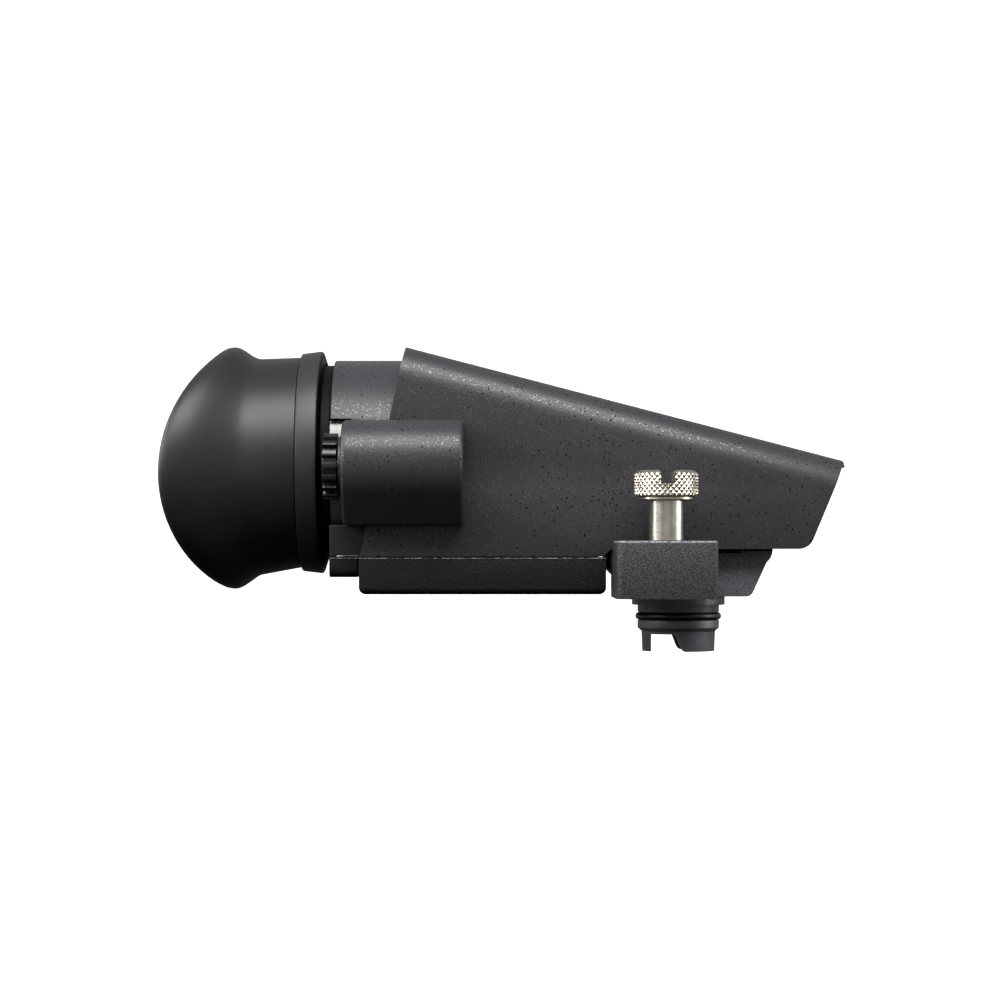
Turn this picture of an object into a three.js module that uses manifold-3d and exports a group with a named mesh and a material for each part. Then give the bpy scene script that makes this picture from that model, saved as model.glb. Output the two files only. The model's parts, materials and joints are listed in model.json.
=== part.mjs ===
// An electronic viewfinder for a cinema camera: an eyepiece with a large rubber eyecup and a
// dioptre dial, in a wedge-shaped housing that tilts up on a foot. The foot and the screw
// block beside it sit on the camera, and a sealed round plug carries the signal down into it.
// Millimetres. +X runs forward along the optical axis, +Z is up, and -Y is the side with the
// dioptre dial and the thumb screw. The origin is on the camera seat, level with the plug's
// axis and under the optical axis.

import * as THREE from "three";
import { mergeVertices } from "three/addons/utils/BufferGeometryUtils.js";
import Module from "manifold-3d";

const wasm = await Module();
wasm.setup();

// Gaps between pieces
const seam = 0.2; // between two fixed covers
const seatGap = 0.3; // between a piece and what it rests in
const runningGap = 0.4; // beside a piece that moves
const shaftGap = 0.1; // round a shaft or a screw
const overrun = 2; // how far a cutting shape runs past the face it cuts
const edgeBreak = 0.4; // small rounding on moulded edges

// Lens tube: the other sections follow from its radius
const tubeOuterRadius = 18;
const tubeWall = 1.4;
const tubeInnerRadius = tubeOuterRadius - tubeWall;
const neckStep = 2.2; // the neck stands out from the tube
const neckOuterRadius = tubeOuterRadius + neckStep;
const neckWall = 1.6;
const neckInnerRadius = neckOuterRadius - neckWall;
const axisOverTube = 9.5;
const opticalAxisHeight = tubeOuterRadius + axisOverTube;

// Main housing: a wedge with a sloping roof, open behind, in front and below
const frameWall = 3; // eyepiece frame beside the tube
const frameHalfWidth = tubeOuterRadius + frameWall;
const housingWall = 1.6;
const innerHalfWidth = frameHalfWidth + seam;
const housingHalfWidth = innerHalfWidth + housingWall;
const roofEdgeRadius = 6.5;
const roofLength = 87.8; // rear edge to front lip, measured level
const roofSlope = 14.6; // degrees
const rearLean = 12; // degrees, rear opening from the vertical
const frontLean = 22.6; // degrees, front face from the vertical
const frontCornerRadius = 3.2;
const lipDrop = 1.5; // end face of the roof over the front panel
const lipReach = 0.6; // roof past the side walls in front
const undersideHeight = 9.55; // lower edge over the foot
const skirtDrop = 1.5; // the lower edge beside the base cover lies lower
const skirtHeight = undersideHeight - skirtDrop;

// Tilt hinge, in pockets under the front of the housing
const hingeX = 15.2;
const hingeHeight = undersideHeight - seam;
const roofReach = 17.4; // the roof's front lip ahead of the hinge
const knuckleRadius = 3.2;
const knuckleRelief = 0.8; // the foot's front is cut back round the knuckle
const knuckleHalfLength = 9.3;
const pocketRadius = 4.4;
const pocketWall = 1.2;
const washerThickness = 0.3;
const washerRadius = 2.9;
const shaftRadius = 1.5;
const shaftEndCover = 1.4; // blind end of the hinge bore on the right side
const chassisThickness = 1.6;
const chassisFrontGap = 0.3;

// Foot
const footRearX = -14.2;
const footSetIn = 4.2; // narrower than the housing on each side
const footHalfWidth = housingHalfWidth - footSetIn;
const footDrop = 0.85; // its top lies below the housing's underside
const footHeight = undersideHeight - footDrop;
const footChamferHeight = 5.8;
const footFrontX = 14.05;
const footFrontLean = 24.6; // degrees from the vertical
const footFrontRadius = 1.6;
const footFloor = 2;
const footWall = 2.8;
const footPocketFrontX = 9.1;
const footCoverThickness = 1.1;
const footCoverLedge = 1.2;

// Base cover: the tray under the rear of the housing
const trayFootGap = 1;
const trayFrontX = footRearX - trayFootGap;
const trayBottom = 0.5;
const trayWall = 1.8;
const trayFloor = 1.8;
const trayLedge = 0.3; // it stands proud of the housing's sides
const trayCornerRadius = 1.4;
const trayEdgeRadius = 1.2;

// Places along the axis: the eyepiece reaches back from the roof's rear edge
const roofFrontX = hingeX + roofReach;
const roofRearX = roofFrontX - roofLength;
const frameReach = 15.2; // the frame's rear face behind the roof's rear edge
const frameRearX = roofRearX - frameReach;
const frameLength = 25.8;
const frameFrontX = frameRearX + frameLength;

// Eyepiece frame: an arch that holds the lens tube, with a leaning flange inside the housing
const frameTopWall = 3.2;
const frameTop = opticalAxisHeight + tubeOuterRadius + frameTopWall;
const frameBottom = 3.9;
const frameTopRadius = frameHalfWidth - seam;
const flangeInset = 1.5; // inside the housing's rear edge
const flangeThickness = 2.2;
const frameBottomRadius = 1.5;
const chinLength = 5.7;
const chinFrontX = frameRearX + chinLength;
const chinTop = 8;

// Places along the tube
const neckReach = 6; // behind the frame
const neckRearX = frameRearX - neckReach;
const windowSeatDepth = 2.8; // from the neck's rear end
const windowSeatX = neckRearX + windowSeatDepth;
const tubeFrontX = frameFrontX - seam;
const snapGrooveDepth = 0.7;
const snapGrooveWidth = 1.3;
const snapGrooveInset = 0.8;
const snapGrooveX = neckRearX + snapGrooveInset;
const windowThickness = 1.8;
const windowSag = 0.5;
const lockRingWidth = 0.7;
const lockRingDepth = 1.9;

// Eyecup: a hard ring that snaps on the tube, and the rubber cup on it
const ringGap = 1.9; // between the frame and the ring
const ringFrontX = frameRearX - ringGap;
const ringChamfer = 0.7;
const ringEdgeX = ringFrontX - ringChamfer;
const ringLength = 4.95;
const ringRearX = ringFrontX - ringLength;
const ringWall = 2.9; // outside the neck
const ringFrontRadius = neckOuterRadius + ringWall;
const ringTaper = 0.5;
const ringRearRadius = ringFrontRadius - ringTaper;
const ringSpigotLength = 3.6;
const ringSpigotWall = 1.1;
const cupSetIn = 1.3; // the cup's neck inside the ring's outline
const cupNeckRadius = ringFrontRadius - cupSetIn;
const cupNeckLength = 8.2;
const cupWaistX = ringRearX - cupNeckLength; // the neck ends and the flare begins
const cupWaistSwell = 0.6;
const cupWaistRadius = cupNeckRadius + cupWaistSwell;
const cupLipSwell = 3.3;
const cupLipRadius = cupNeckRadius + cupLipSwell;
const cupFlareLeast = 4; // least length of the flare, on the nose side
const cupLength = 13.95;
const cupLipX = ringRearX - cupLength; // rim at the top and the bottom
const cupLipReach = 2.1; // rounded end of the rim
const cupWingLength = 10.4; // the temple side reaches this much further back
const cupWingDroop = 4; // degrees, the wing points down from level
const cupWingPower = 2.2; // how soon the wing narrows towards the top and the bottom
const cupShortSide = 2.2; // the nose side is cut back by this
const cupWingFlare = 3.6; // extra radius at the wing's tip
const cupLipDrop = 1.15; // the lip's centre lies below the optical axis
const cupDropLength = 10.4; // from the neck to where that drop is reached
const cupWall = 1.6;
const cupRimWall = 1.9;

// Dioptre dial, lead screw and their cover on the right side
const dialReach = 4.2; // its axis outside the housing
const dialAxisY = -housingHalfWidth - dialReach;
const dialDrop = 1.7; // below the optical axis
const dialAxisHeight = opticalAxisHeight - dialDrop;
const dialOverlap = 0.6; // its rear face behind the frame
const dialRearX = frameRearX - dialOverlap;
const dialWidth = 2.8;
const dialRadius = 6.5;
const dialRibs = 16;
const dialRibHeight = 0.55;
const dialBore = 1.75;
const dialFace = 0.8;
const leadScrewRadius = 2;
const journalRadius = 1.5;
const coverInset = 3; // the cover begins ahead of the frame's rear face
const coverRearX = frameRearX + coverInset;
const coverLength = 23.9;
const coverFrontX = coverRearX + coverLength;
const coverReach = 7.7; // its outer face from the dial's axis
const coverOuterY = dialAxisY - coverReach;
const coverRise = 9.2; // top above the dial's axis
const coverBendDrop = 2.7; // the outer face turns inward below this
const coverFall = 11.65; // bottom below the dial's axis
const coverLean = 38; // degrees, lower face from the vertical
const coverTopRadius = 8.1;
const coverBendRadius = 10.3;
const coverFootRadius = 1.2;
const coverWall = 1.4;
const coverEndWall = 3.4;
const coverEdgeRadius = 1;
const bossRadius = 5.9;
const bossHeight = 0.5;
const bushRadius = 2.9;
const bushFlangeRadius = 3.8;
const bushFlangeWidth = 0.6;
const slotFall = 11.45; // the slot beside the dial, from the dial's axis
const slotBottom = dialAxisHeight - slotFall;
const slotRise = 9.8;
const slotTop = dialAxisHeight + slotRise;
const padFrontX = coverRearX - seatGap; // the tube fills the slot behind the cover

// Lens carriage inside the tube
const carriageInset = 6.4;
const carriageRearX = frameRearX + carriageInset;
const carriageLength = 14;
const carriageWall = 1.4;
const carriageTravel = 2.5; // each way from the middle
const shoulderInset = 5.8;
const shoulderRearX = carriageRearX + shoulderInset;
const shoulderLength = 4.6;
const shoulderFrontX = shoulderRearX + shoulderLength;
const shoulderWall = 1.1;
const armWidth = 6;
const armHalfHeight = 2.5;
const nutWall = 1.4;
const eyeLensEdge = 2;
const eyeLensSag = 2.4;
const fieldLensEdge = 1.8;
const fieldLensSag = 2.1;

// Display and circuit boards
const displayHolderThickness = 1.8;
const displayHolderSetIn = 4.7; // from the housing's inner face
const displayHolderHalfWidth = innerHalfWidth - displayHolderSetIn;
const displayHolderHalfHeight = 14.5;
const displayHalfWidth = 8;
const displayHalfHeight = 6.5;
const displayThickness = 1.5;
const displayWindowHalfWidth = 6.2;
const displayWindowHalfHeight = 4.6;
const flexThickness = 0.3;
const flexHalfWidth = 4;
const flexBends = [3, 2]; // outer and inner bend radius, shares of its thickness
const rearPostX = (frameFrontX + trayFrontX) / 2;
const boardOverhang = 4; // behind the rear posts
const boardRearX = rearPostX - boardOverhang;
const boardFrontX = 5;
const boardSetIn = 4.2; // from the housing's inner face
const boardHalfWidth = innerHalfWidth - boardSetIn;
const boardHeight = 19;
const boardThickness = 1.2;
const chipHeight = 1.1;
const chipShares = [
  [0.3, 0.5, -0.1, 0.4],
  [0.58, 0.72, -0.7, -0.2],
  [0.58, 0.72, 0.2, 0.6],
]; // from and to along the board, then across it
const postRadius = 2.2;
const frontPostX = 0;
const postInset = 4; // from the board's side
const postY = boardHalfWidth - postInset;

// Screw block, thumb screw and its retaining ring
const blockRearX = -14.05;
const blockWidth = 19.4;
const blockReach = 20.7; // outside the housing
const blockOuterY = -housingHalfWidth - blockReach;
const blockHeight = 11.25;
const blockNeckDrop = 1.1; // its neck lies below the housing's underside
const blockNeckHeight = undersideHeight - blockNeckDrop;
const blockEdgeRadius = 1.3;
const blockTopRadius = 0.7;
const blockRoof = 1.6;
const blockScrewInset = 8.4;
const blockScrewFrontInset = 1.35;
const screwX = -4;
const screwReach = 10.7; // its axis outside the housing
const screwY = -housingHalfWidth - screwReach;
const screwHeadRadius = 6.3;
const screwHeadHeight = 5.1;
const screwHeadChamfer = 0.7;
const screwCollarRadius = 5.4;
const screwCollarHeight = 0.75;
const coinSlotWidth = 2.8;
const coinSlotDepth = 2.7;
const screwShankRadius = 3.35;
const screwThreadRadius = 2.4;
const screwNeckRadius = 1.9;
const screwTravel = 7.4;
const retainingRingRadius = 4.5;
const retainingRingThickness = 0.6;
const retainingPlateRadius = 5.8;
const retainingPlateThickness = 0.9;
const chamberRadius = 5.2;
const frictionRingDepth = 0.65;
const frictionRingHeight = 0.6;

// Connector plug under the foot
const plugSetIn = 7.6; // from the foot's side
const plugY = -footHalfWidth + plugSetIn;
const plugFlangeRadius = 9.45;
const plugFlangeBottom = -1.75;
const plugFlangeSeat = 0.5; // depth of its seat in the foot
const plugBodyRadius = 8.3;
const plugGrooveTop = -3.2;
const plugGrooveBottom = -4.9;
const plugGrooveRadius = 7.3;
const plugLandBottom = -6.4;
const plugChamferBottom = -7.15;
const plugShroudRadius = 7.5;
const plugShroudTaper = 0.15;
const plugTip = -11.15;
const plugShroudWall = 1.7;
const plugSpigotRadius = 4.4;
const plugSpigotWall = 0.9;
const plugScrewSpread = 6.6;
const plugScrewDepth = 1.8; // blind holes in the flange
const plugCarrierSeat = -5.55;
const notchLeft = -5.8;
const notchTop = -7.65;
const notchCurveStart = -1.6;
const notchCurveEnd = 0.9;
const plugRingOuterRadius = 8.72;
const carrierStemHeight = 1; // above the foot's floor
const carrierFaceHeight = -7.3;
const pinRadius = 0.35;
const pinPitch = 1.8;
const pinRows = 2;
const pinsInRow = 3;
const terminalBoardHeight = 4.6;
const terminalBoardThickness = 1;
const terminalBoardSetIn = 6; // from the foot's side
const terminalBoardHalfWidth = footHalfWidth - terminalBoardSetIn;
const ribWidth = 1.4;
const ribShares = [-0.25, 1]; // of the terminal board's half width

// Small screws
const smallScrewRadius = 0.8;
const smallHole = smallScrewRadius + shaftGap;
const smallHeadRadius = 1.5;
const smallHeadHole = smallHeadRadius + shaftGap;
const smallHeadHeight = 0.7;
const smallScrewLength = 3.6;
const blockScrewLength = 6.2;
const coverScrewRadius = 1;
const coverHole = coverScrewRadius + shaftGap;
const coverHeadRadius = 1.9;
const coverHeadHole = coverHeadRadius + shaftGap;
const coverHeadHeight = 1;
const coverHeadEdge = 0.75; // metal left between the head's seat and the edge
const coverScrewLength = 5.2;
const screwSocketRadius = 0.7;
const screwSocketDepthShare = 0.6; // of the head's height
const coverScrewInset = 4.4;
const screwBossRadius = 2;
const screwBossRootRadius = 2.7;
const footScrewInset = 2.4;

// Circle steps by size of feature
const fineSteps = 40;
const middleSteps = 28;
const smallSteps = 16;
const tinySteps = 10;
const pinSteps = 7;
const bendSteps = 8;
const filletSteps = 6;

const radians = THREE.MathUtils.degToRad;
const tan = (degrees) => Math.tan(radians(degrees));

// Solids from three.js geometry

function solidOf(geometry) {
  const bare = geometry.index ? geometry.toNonIndexed() : geometry.clone();
  for (const name of Object.keys(bare.attributes)) {
    if (name !== "position") bare.deleteAttribute(name);
  }
  const merged = mergeVertices(bare, 1e-4);
  const vertProperties = merged.attributes.position.array;
  const triVerts = new Uint32Array(merged.index.array);
  return new wasm.Manifold(new wasm.Mesh({ numProp: 3, vertProperties, triVerts }));
}

function geometryOf(solid) {
  const mesh = solid.getMesh();
  const geometry = new THREE.BufferGeometry();
  geometry.setAttribute("position", new THREE.BufferAttribute(mesh.vertProperties, mesh.numProp));
  geometry.setIndex(new THREE.BufferAttribute(mesh.triVerts, 1));
  geometry.computeVertexNormals();
  return geometry;
}

// A closed outline whose corners are rounded: each point is [u, v] or [u, v, radius].
function outline(points) {
  const shape = new THREE.Shape();
  const at = (i) => new THREE.Vector2(...points[(i + points.length) % points.length]);
  points.forEach((point, i) => {
    const corner = at(i);
    const radius = point[2] || 0;
    const back = at(i - 1).sub(corner).normalize();
    const ahead = at(i + 1).sub(corner).normalize();
    if (!radius) {
      if (i) shape.lineTo(corner.x, corner.y);
      else shape.moveTo(corner.x, corner.y);
      return;
    }
    const half = Math.acos(THREE.MathUtils.clamp(back.dot(ahead), -1, 1)) / 2;
    const start = corner.clone().addScaledVector(back, radius / Math.tan(half));
    const end = corner.clone().addScaledVector(ahead, radius / Math.tan(half));
    const inward = back.clone().add(ahead).normalize();
    const centre = corner.clone().addScaledVector(inward, radius / Math.sin(half));
    const angle = (p) => Math.atan2(p.y - centre.y, p.x - centre.x);
    if (i) shape.lineTo(start.x, start.y);
    else shape.moveTo(start.x, start.y);
    shape.absarc(centre.x, centre.y, radius, angle(start), angle(end), back.cross(ahead) > 0);
  });
  shape.closePath();
  return shape;
}

function box2(u0, u1, v0, v1, radius = 0) {
  return outline([
    [u0, v0, radius],
    [u1, v0, radius],
    [u1, v1, radius],
    [u0, v1, radius],
  ]);
}

// Prisms along each axis. The outline is in (y, z), (x, z) and (x, y), and a bevel rounds both ends.
function extruded(shape, length, bevel, steps) {
  const geometry = new THREE.ExtrudeGeometry(shape, {
    depth: length - 2 * bevel,
    curveSegments: steps,
    bevelEnabled: bevel > 0,
    bevelThickness: bevel,
    bevelSize: bevel,
    bevelOffset: -bevel,
    bevelSegments: 3,
  });
  return geometry.translate(0, 0, bevel);
}

function alongX(shape, x0, x1, bevel = 0, steps = filletSteps) {
  const turn = new THREE.Matrix4().makeBasis(
    new THREE.Vector3(0, 1, 0),
    new THREE.Vector3(0, 0, 1),
    new THREE.Vector3(1, 0, 0),
  );
  const geometry = extruded(shape, x1 - x0, bevel, steps);
  return solidOf(geometry.applyMatrix4(turn).translate(x0, 0, 0));
}

function alongY(shape, y0, y1, bevel = 0, steps = filletSteps) {
  const geometry = extruded(shape, y1 - y0, bevel, steps);
  return solidOf(geometry.rotateX(Math.PI / 2).translate(0, y1, 0));
}

function alongZ(shape, z0, z1, bevel = 0, steps = filletSteps) {
  return solidOf(extruded(shape, z1 - z0, bevel, steps).translate(0, 0, z0));
}

function block(x0, x1, y0, y1, z0, z1) {
  return alongZ(box2(x0, x1, y0, y1), z0, z1);
}

// A turned solid. The profile's points are [along the axis, radius], anticlockwise when the
// radius runs to the right and the axis up.
function turned(profile, axis, centre = [0, 0, 0], steps = middleSteps) {
  const points = profile.map(([along, radius]) => new THREE.Vector2(radius, along));
  const geometry = new THREE.LatheGeometry(points, steps);
  if (axis === "x") geometry.rotateZ(-Math.PI / 2);
  if (axis === "z") geometry.rotateX(Math.PI / 2);
  return solidOf(geometry.translate(...centre));
}

function rod(axis, from, to, radius, centre, steps = middleSteps) {
  return turned([[from, 0], [from, radius], [to, radius], [to, 0]], axis, centre, steps);
}

// A short rod along z at (x, y), to cut a hole or to stand as a post
function pinAt(x, y, from, to, radius, steps = tinySteps) {
  return rod("z", from, to, radius, [x, y, 0], steps);
}

function ring(axis, from, to, inner, outer, centre, steps = middleSteps) {
  const profile = [[from, inner], [from, outer], [to, outer], [to, inner], [from, inner]];
  return turned(profile, axis, centre, steps);
}

// Cuts every tool from a solid.
function cut(solid, ...tools) {
  return tools.reduce((left, tool) => left.subtract(tool), solid);
}

function join(...solids) {
  return solids.reduce((all, one) => all.add(one));
}

// Finishes
const finish = (color, roughness, metalness = 0) =>
  new THREE.MeshStandardMaterial({ color, roughness, metalness });
const satinBlack = finish("#3a3a3e", 0.55);
const grainBlack = finish("#26272a", 0.7);
const smoothBlack = finish("#1b1b1d", 0.35);
const lightAluminium = finish("#bdbdba", 0.5, 0.6);
const rubber = finish("#2b2b2e", 0.8);
const softRubber = finish("#111113", 0.6);
const nickel = finish("#cfc9ba", 0.3, 1);
const steel = finish("#b5b7ba", 0.3, 1);
const glass = finish("#b9c4d6", 0.05);
const circuitGreen = finish("#1f5a3a", 0.5);
const gold = finish("#d9b45a", 0.3, 1);
const amberFilm = finish("#a5642a", 0.4);

const viewfinder = new THREE.Group();
viewfinder.name = "electronic_viewfinder";
const mount = new THREE.Group();
const tilting = new THREE.Group();
const eyepiece = new THREE.Group();
viewfinder.add(mount, tilting);
tilting.add(eyepiece);

function add(group, name, solid, material, place = [0, 0, 0], turn = [0, 0, 0]) {
  const geometry = solid.isBufferGeometry ? solid : geometryOf(solid);
  const mesh = new THREE.Mesh(geometry, material);
  mesh.name = name;
  mesh.position.set(...place);
  mesh.rotation.set(...turn);
  group.add(mesh);
}

// Places that several pieces share
const slope = radians(roofSlope);
const roofClearance = 0.34; // over the front end of the tube
const roofFall = (tubeFrontX - roofRearX) * Math.tan(slope);
const roofOverTube = roofClearance + housingWall / Math.cos(slope) + roofFall;
const roofRearHeight = opticalAxisHeight + tubeOuterRadius + roofOverTube;
const frameAxis = [0, 0, opticalAxisHeight];
const dialAxis = [0, dialAxisY, dialAxisHeight];
const hingeAxis = [hingeX, 0, hingeHeight];
const shaftHole = shaftRadius + shaftGap;
const screwAxis = [screwX, screwY, 0];
const plugAxis = [0, plugY, 0];
const roofHeightAt = (x) => roofRearHeight - (x - roofRearX) * Math.tan(slope);
const rearEdgeX = (z) => roofRearX - (roofRearHeight - z) * tan(rearLean);
const lipBottom = roofHeightAt(roofFrontX) - lipDrop;
const frontEdgeX = (z) => roofFrontX - lipReach - (lipBottom - z) * tan(frontLean);
const trayTop = skirtHeight - seam;
const trayRearX = rearEdgeX(skirtHeight) - seam;
const trayHalfWidth = housingHalfWidth + trayLedge;
const trayFloorTop = trayBottom + trayFloor;

// The space under the sloping roof plane, drawn in by inset, with rounded roof edges
function underRoof(inset, radius) {
  const half = housingHalfWidth - inset;
  const reach = roofLength + roofRearHeight;
  const section = outline([
    [-half, -reach],
    [half, -reach],
    [half, -inset, radius],
    [-half, -inset, radius],
  ]);
  return alongX(section, -reach, reach + roofLength)
    .rotate([0, roofSlope, 0])
    .translate([roofRearX, 0, roofRearHeight]);
}

// The housing's side outline in (x, z), drawn in by inset in front and below
function sideOutline(inset) {
  const above = roofRearHeight + overrun;
  const sideInset = inset / Math.cos(radians(frontLean));
  const radius = Math.max(frontCornerRadius - inset, edgeBreak);
  const stepX = footRearX - (undersideHeight - skirtHeight);
  return outline([
    [rearEdgeX(skirtHeight + inset), skirtHeight + inset],
    [stepX - inset, skirtHeight + inset],
    [footRearX - inset, undersideHeight + inset],
    [frontEdgeX(undersideHeight + inset) - sideInset, undersideHeight + inset, radius],
    [frontEdgeX(lipBottom) - sideInset, lipBottom],
    [roofFrontX - inset, lipBottom],
    [roofFrontX - inset, above],
    [rearEdgeX(above), above],
  ]);
}

function housingBody(grow = 0) {
  const shape = alongY(sideOutline(-grow), -housingHalfWidth - overrun, housingHalfWidth + overrun);
  return shape.intersect(underRoof(-grow, roofEdgeRadius + grow));
}

// Where the four base cover screws stand, rear pair into the frame and front pair into the housing
const coverScrewRearX = trayRearX + coverScrewInset;
const coverScrewFrontX = trayFrontX - coverScrewInset;
const coverScrewY = innerHalfWidth - coverHeadRadius - coverHeadEdge;
const chassisScrewX = footRearX + coverScrewInset;
const chassisTop = undersideHeight + chassisThickness;

function mainHousing() {
  const hollow = underRoof(housingWall, roofEdgeRadius - housingWall);
  const bosses = [];
  const bores = [];
  for (const side of [-1, 1]) {
    const y = side * coverScrewY;
    for (const [x, foot, skirt] of [
      [coverScrewFrontX, trayFloorTop + seatGap, skirtHeight],
      [chassisScrewX, chassisTop + seatGap, chassisTop + seatGap],
    ]) {
      const top = skirt + coverScrewLength + housingWall;
      bosses.push(pinAt(x, y, foot, top, screwBossRadius));
      bosses.push(pinAt(x, y, skirt, top, screwBossRootRadius));
      bores.push(pinAt(x, y, foot - overrun, foot + coverScrewLength, coverHole));
    }
  }
  const armWindow = block(
    carriageRearX - overrun,
    carriageRearX + carriageLength + overrun,
    -housingHalfWidth - overrun,
    -innerHalfWidth + overrun,
    dialAxisHeight - armWindowHalfHeight,
    dialAxisHeight + armWindowHalfHeight,
  );
  return cut(join(cut(housingBody(), hollow, armWindow), ...bosses), ...bores);
}

const journalHoleRadius = journalRadius + shaftGap;

// The nut on the lead screw passes through the windows in the tube, frame and housing
const nutRadius = leadScrewRadius + shaftGap + nutWall;
const armWindowHalfHeight = nutRadius + runningGap;

function baseCover() {
  const side = outline([
    [trayRearX, trayBottom, trayCornerRadius],
    [trayFrontX, trayBottom, trayCornerRadius],
    [trayFrontX, trayTop],
    [trayRearX, trayTop],
  ]);
  const section = outline([
    [-trayHalfWidth, trayBottom, trayEdgeRadius],
    [trayHalfWidth, trayBottom, trayEdgeRadius],
    [trayHalfWidth, trayTop],
    [-trayHalfWidth, trayTop],
  ]);
  const across = alongX(section, trayRearX - overrun, trayFrontX + overrun);
  const outer = alongY(side, -trayHalfWidth, trayHalfWidth).intersect(across);
  const half = trayHalfWidth - trayWall;
  const innerRearX = trayRearX + trayWall;
  const top = trayTop + overrun;
  const hollow = block(innerRearX, trayFrontX - trayWall, -half, half, trayFloorTop, top);
  const neck = block(trayRearX - overrun, innerRearX + overrun, -half, half, frameBottom - seatGap, top);
  const posts = [-1, 1].map((s) =>
    pinAt(rearPostX, s * postY, trayFloorTop - trayFloor / 2, boardHeight - seatGap, postRadius),
  );
  const holes = [];
  for (const x of [coverScrewRearX, coverScrewFrontX]) {
    for (const s of [-1, 1]) {
      const y = s * coverScrewY;
      holes.push(pinAt(x, y, -overrun, trayFloorTop + overrun, coverHole));
      holes.push(pinAt(x, y, -overrun, trayBottom + coverHeadHeight, coverHeadHole));
    }
  }
  return join(cut(outer, hollow, neck), ...posts).subtract(holes.reduce((a, b) => a.add(b)));
}

// Under the front of the housing: a cast plate with the hinge's middle knuckle and two pockets
// for the foot's ears
const earInnerY = knuckleHalfLength + washerThickness + seam;
const chassisFrontX = hingeX + pocketRadius + pocketWall;

function tiltChassis() {
  const halfWidth = innerHalfWidth - seam;
  const top = chassisTop;
  const plate = block(footRearX + seam, chassisFrontX, -halfWidth, halfWidth, undersideHeight, top);
  const domeEnd = footHalfWidth + runningGap + pocketWall;
  const dome = rod("y", -domeEnd, domeEnd, pocketRadius + pocketWall, hingeAxis);
  const [rear, front] = [footRearX - overrun, chassisFrontX + overrun];
  const below = block(rear, front, -halfWidth, halfWidth, -overrun, undersideHeight);
  const knuckle = rod("y", -knuckleHalfLength, knuckleHalfLength, knuckleRadius, hingeAxis);
  const pockets = [-1, 1].map((s) => {
    const ends = [s * knuckleHalfLength, s * (footHalfWidth + runningGap)].sort((a, b) => a - b);
    return rod("y", ends[0], ends[1], pocketRadius, hingeAxis);
  });
  const posts = [-1, 1].map((s) =>
    pinAt(frontPostX, s * postY, top - chassisThickness / 2, boardHeight - seatGap, postRadius),
  );
  const boreEnd = knuckleHalfLength + overrun;
  const bores = [rod("y", -boreEnd, boreEnd, shaftHole, hingeAxis, smallSteps)];
  const start = undersideHeight - overrun;
  for (const s of [-1, 1]) {
    const y = s * coverScrewY;
    bores.push(pinAt(chassisScrewX, y, start, top + overrun, coverHole));
    bores.push(pinAt(chassisScrewX, y, start, undersideHeight + coverHeadHeight, coverHeadHole));
    bores.push(pinAt(frontPostX, s * postY, boardHeight - smallScrewLength, boardHeight, smallHole));
  }
  const body = cut(join(plate, dome, ...posts), below, ...pockets);
  return cut(join(body, knuckle), ...bores);
}

// The front panel closes the housing's slanting front and turns under to meet the chassis
function frontPanel() {
  const reach = housingHalfWidth;
  const outside = alongY(sideOutline(seam), -reach, reach);
  const inside = alongY(sideOutline(seam + housingWall), -reach - overrun, reach + overrun);
  const panelRearX = chassisFrontX + chassisFrontGap;
  const ahead = block(panelRearX, roofFrontX + overrun, -reach, reach, 0, roofRearHeight);
  const room = underRoof(housingWall + seam, roofEdgeRadius - housingWall - seam);
  const underLip = alongY(
    outline([
      [chassisFrontX, 0],
      [frontEdgeX(0) + overrun, 0],
      [roofFrontX + overrun, lipBottom - seam],
      [chassisFrontX, lipBottom - seam + (roofFrontX - chassisFrontX) * tan(roofSlope)],
    ]),
    -reach,
    reach,
  );
  return outside.subtract(inside).intersect(ahead).intersect(room).intersect(underLip);
}

function eyepieceFrame() {
  const section = outline([
    [-frameHalfWidth, frameBottom, frameBottomRadius],
    [frameHalfWidth, frameBottom, frameBottomRadius],
    [frameHalfWidth, frameTop, frameTopRadius],
    [-frameHalfWidth, frameTop, frameTopRadius],
  ]);
  const flangeRear = (z) => rearEdgeX(z) + flangeInset / Math.cos(radians(rearLean));
  const flangeSide = outline([
    [flangeRear(skirtHeight), skirtHeight],
    [flangeRear(skirtHeight) + flangeThickness, skirtHeight],
    [flangeRear(roofRearHeight) + flangeThickness, roofRearHeight],
    [flangeRear(roofRearHeight), roofRearHeight],
  ]);
  const outer = join(
    alongX(section, frameRearX, frameFrontX, edgeBreak),
    alongY(flangeSide, -frameHalfWidth, frameHalfWidth),
  );
  const room = underRoof(housingWall + seam, roofEdgeRadius - housingWall - seam);
  const [rear, side] = [frameRearX - overrun, frameHalfWidth + overrun];
  const bore = rod("x", rear, frameFrontX + overrun, tubeOuterRadius + seam, frameAxis, fineSteps);
  const chin = block(rear, chinFrontX + seam, -side, side, 0, chinTop + seam);
  const slot = alongX(box2(-side, 0, slotBottom, slotTop, edgeBreak), rear, coverRearX + coverWall);
  const channel = block(
    coverRearX + coverWall - seam,
    carriageRearX + carriageLength + carriageTravel + overrun,
    -side,
    0,
    dialAxisHeight - armWindowHalfHeight,
    dialAxisHeight + armWindowHalfHeight,
  );
  const holes = [-1, 1].map((s) =>
    pinAt(coverScrewRearX, s * coverScrewY, 0, trayFloorTop + coverScrewLength, coverHole),
  );
  return cut(outer, bore, chin, slot, channel, ...holes).intersect(room);
}

function eyepieceChin() {
  const section = outline([
    [-frameHalfWidth, frameBottom, frameBottomRadius],
    [frameHalfWidth, frameBottom, frameBottomRadius],
    [frameHalfWidth, chinTop],
    [-frameHalfWidth, chinTop],
  ]);
  return alongX(section, frameRearX, chinFrontX);
}

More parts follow.
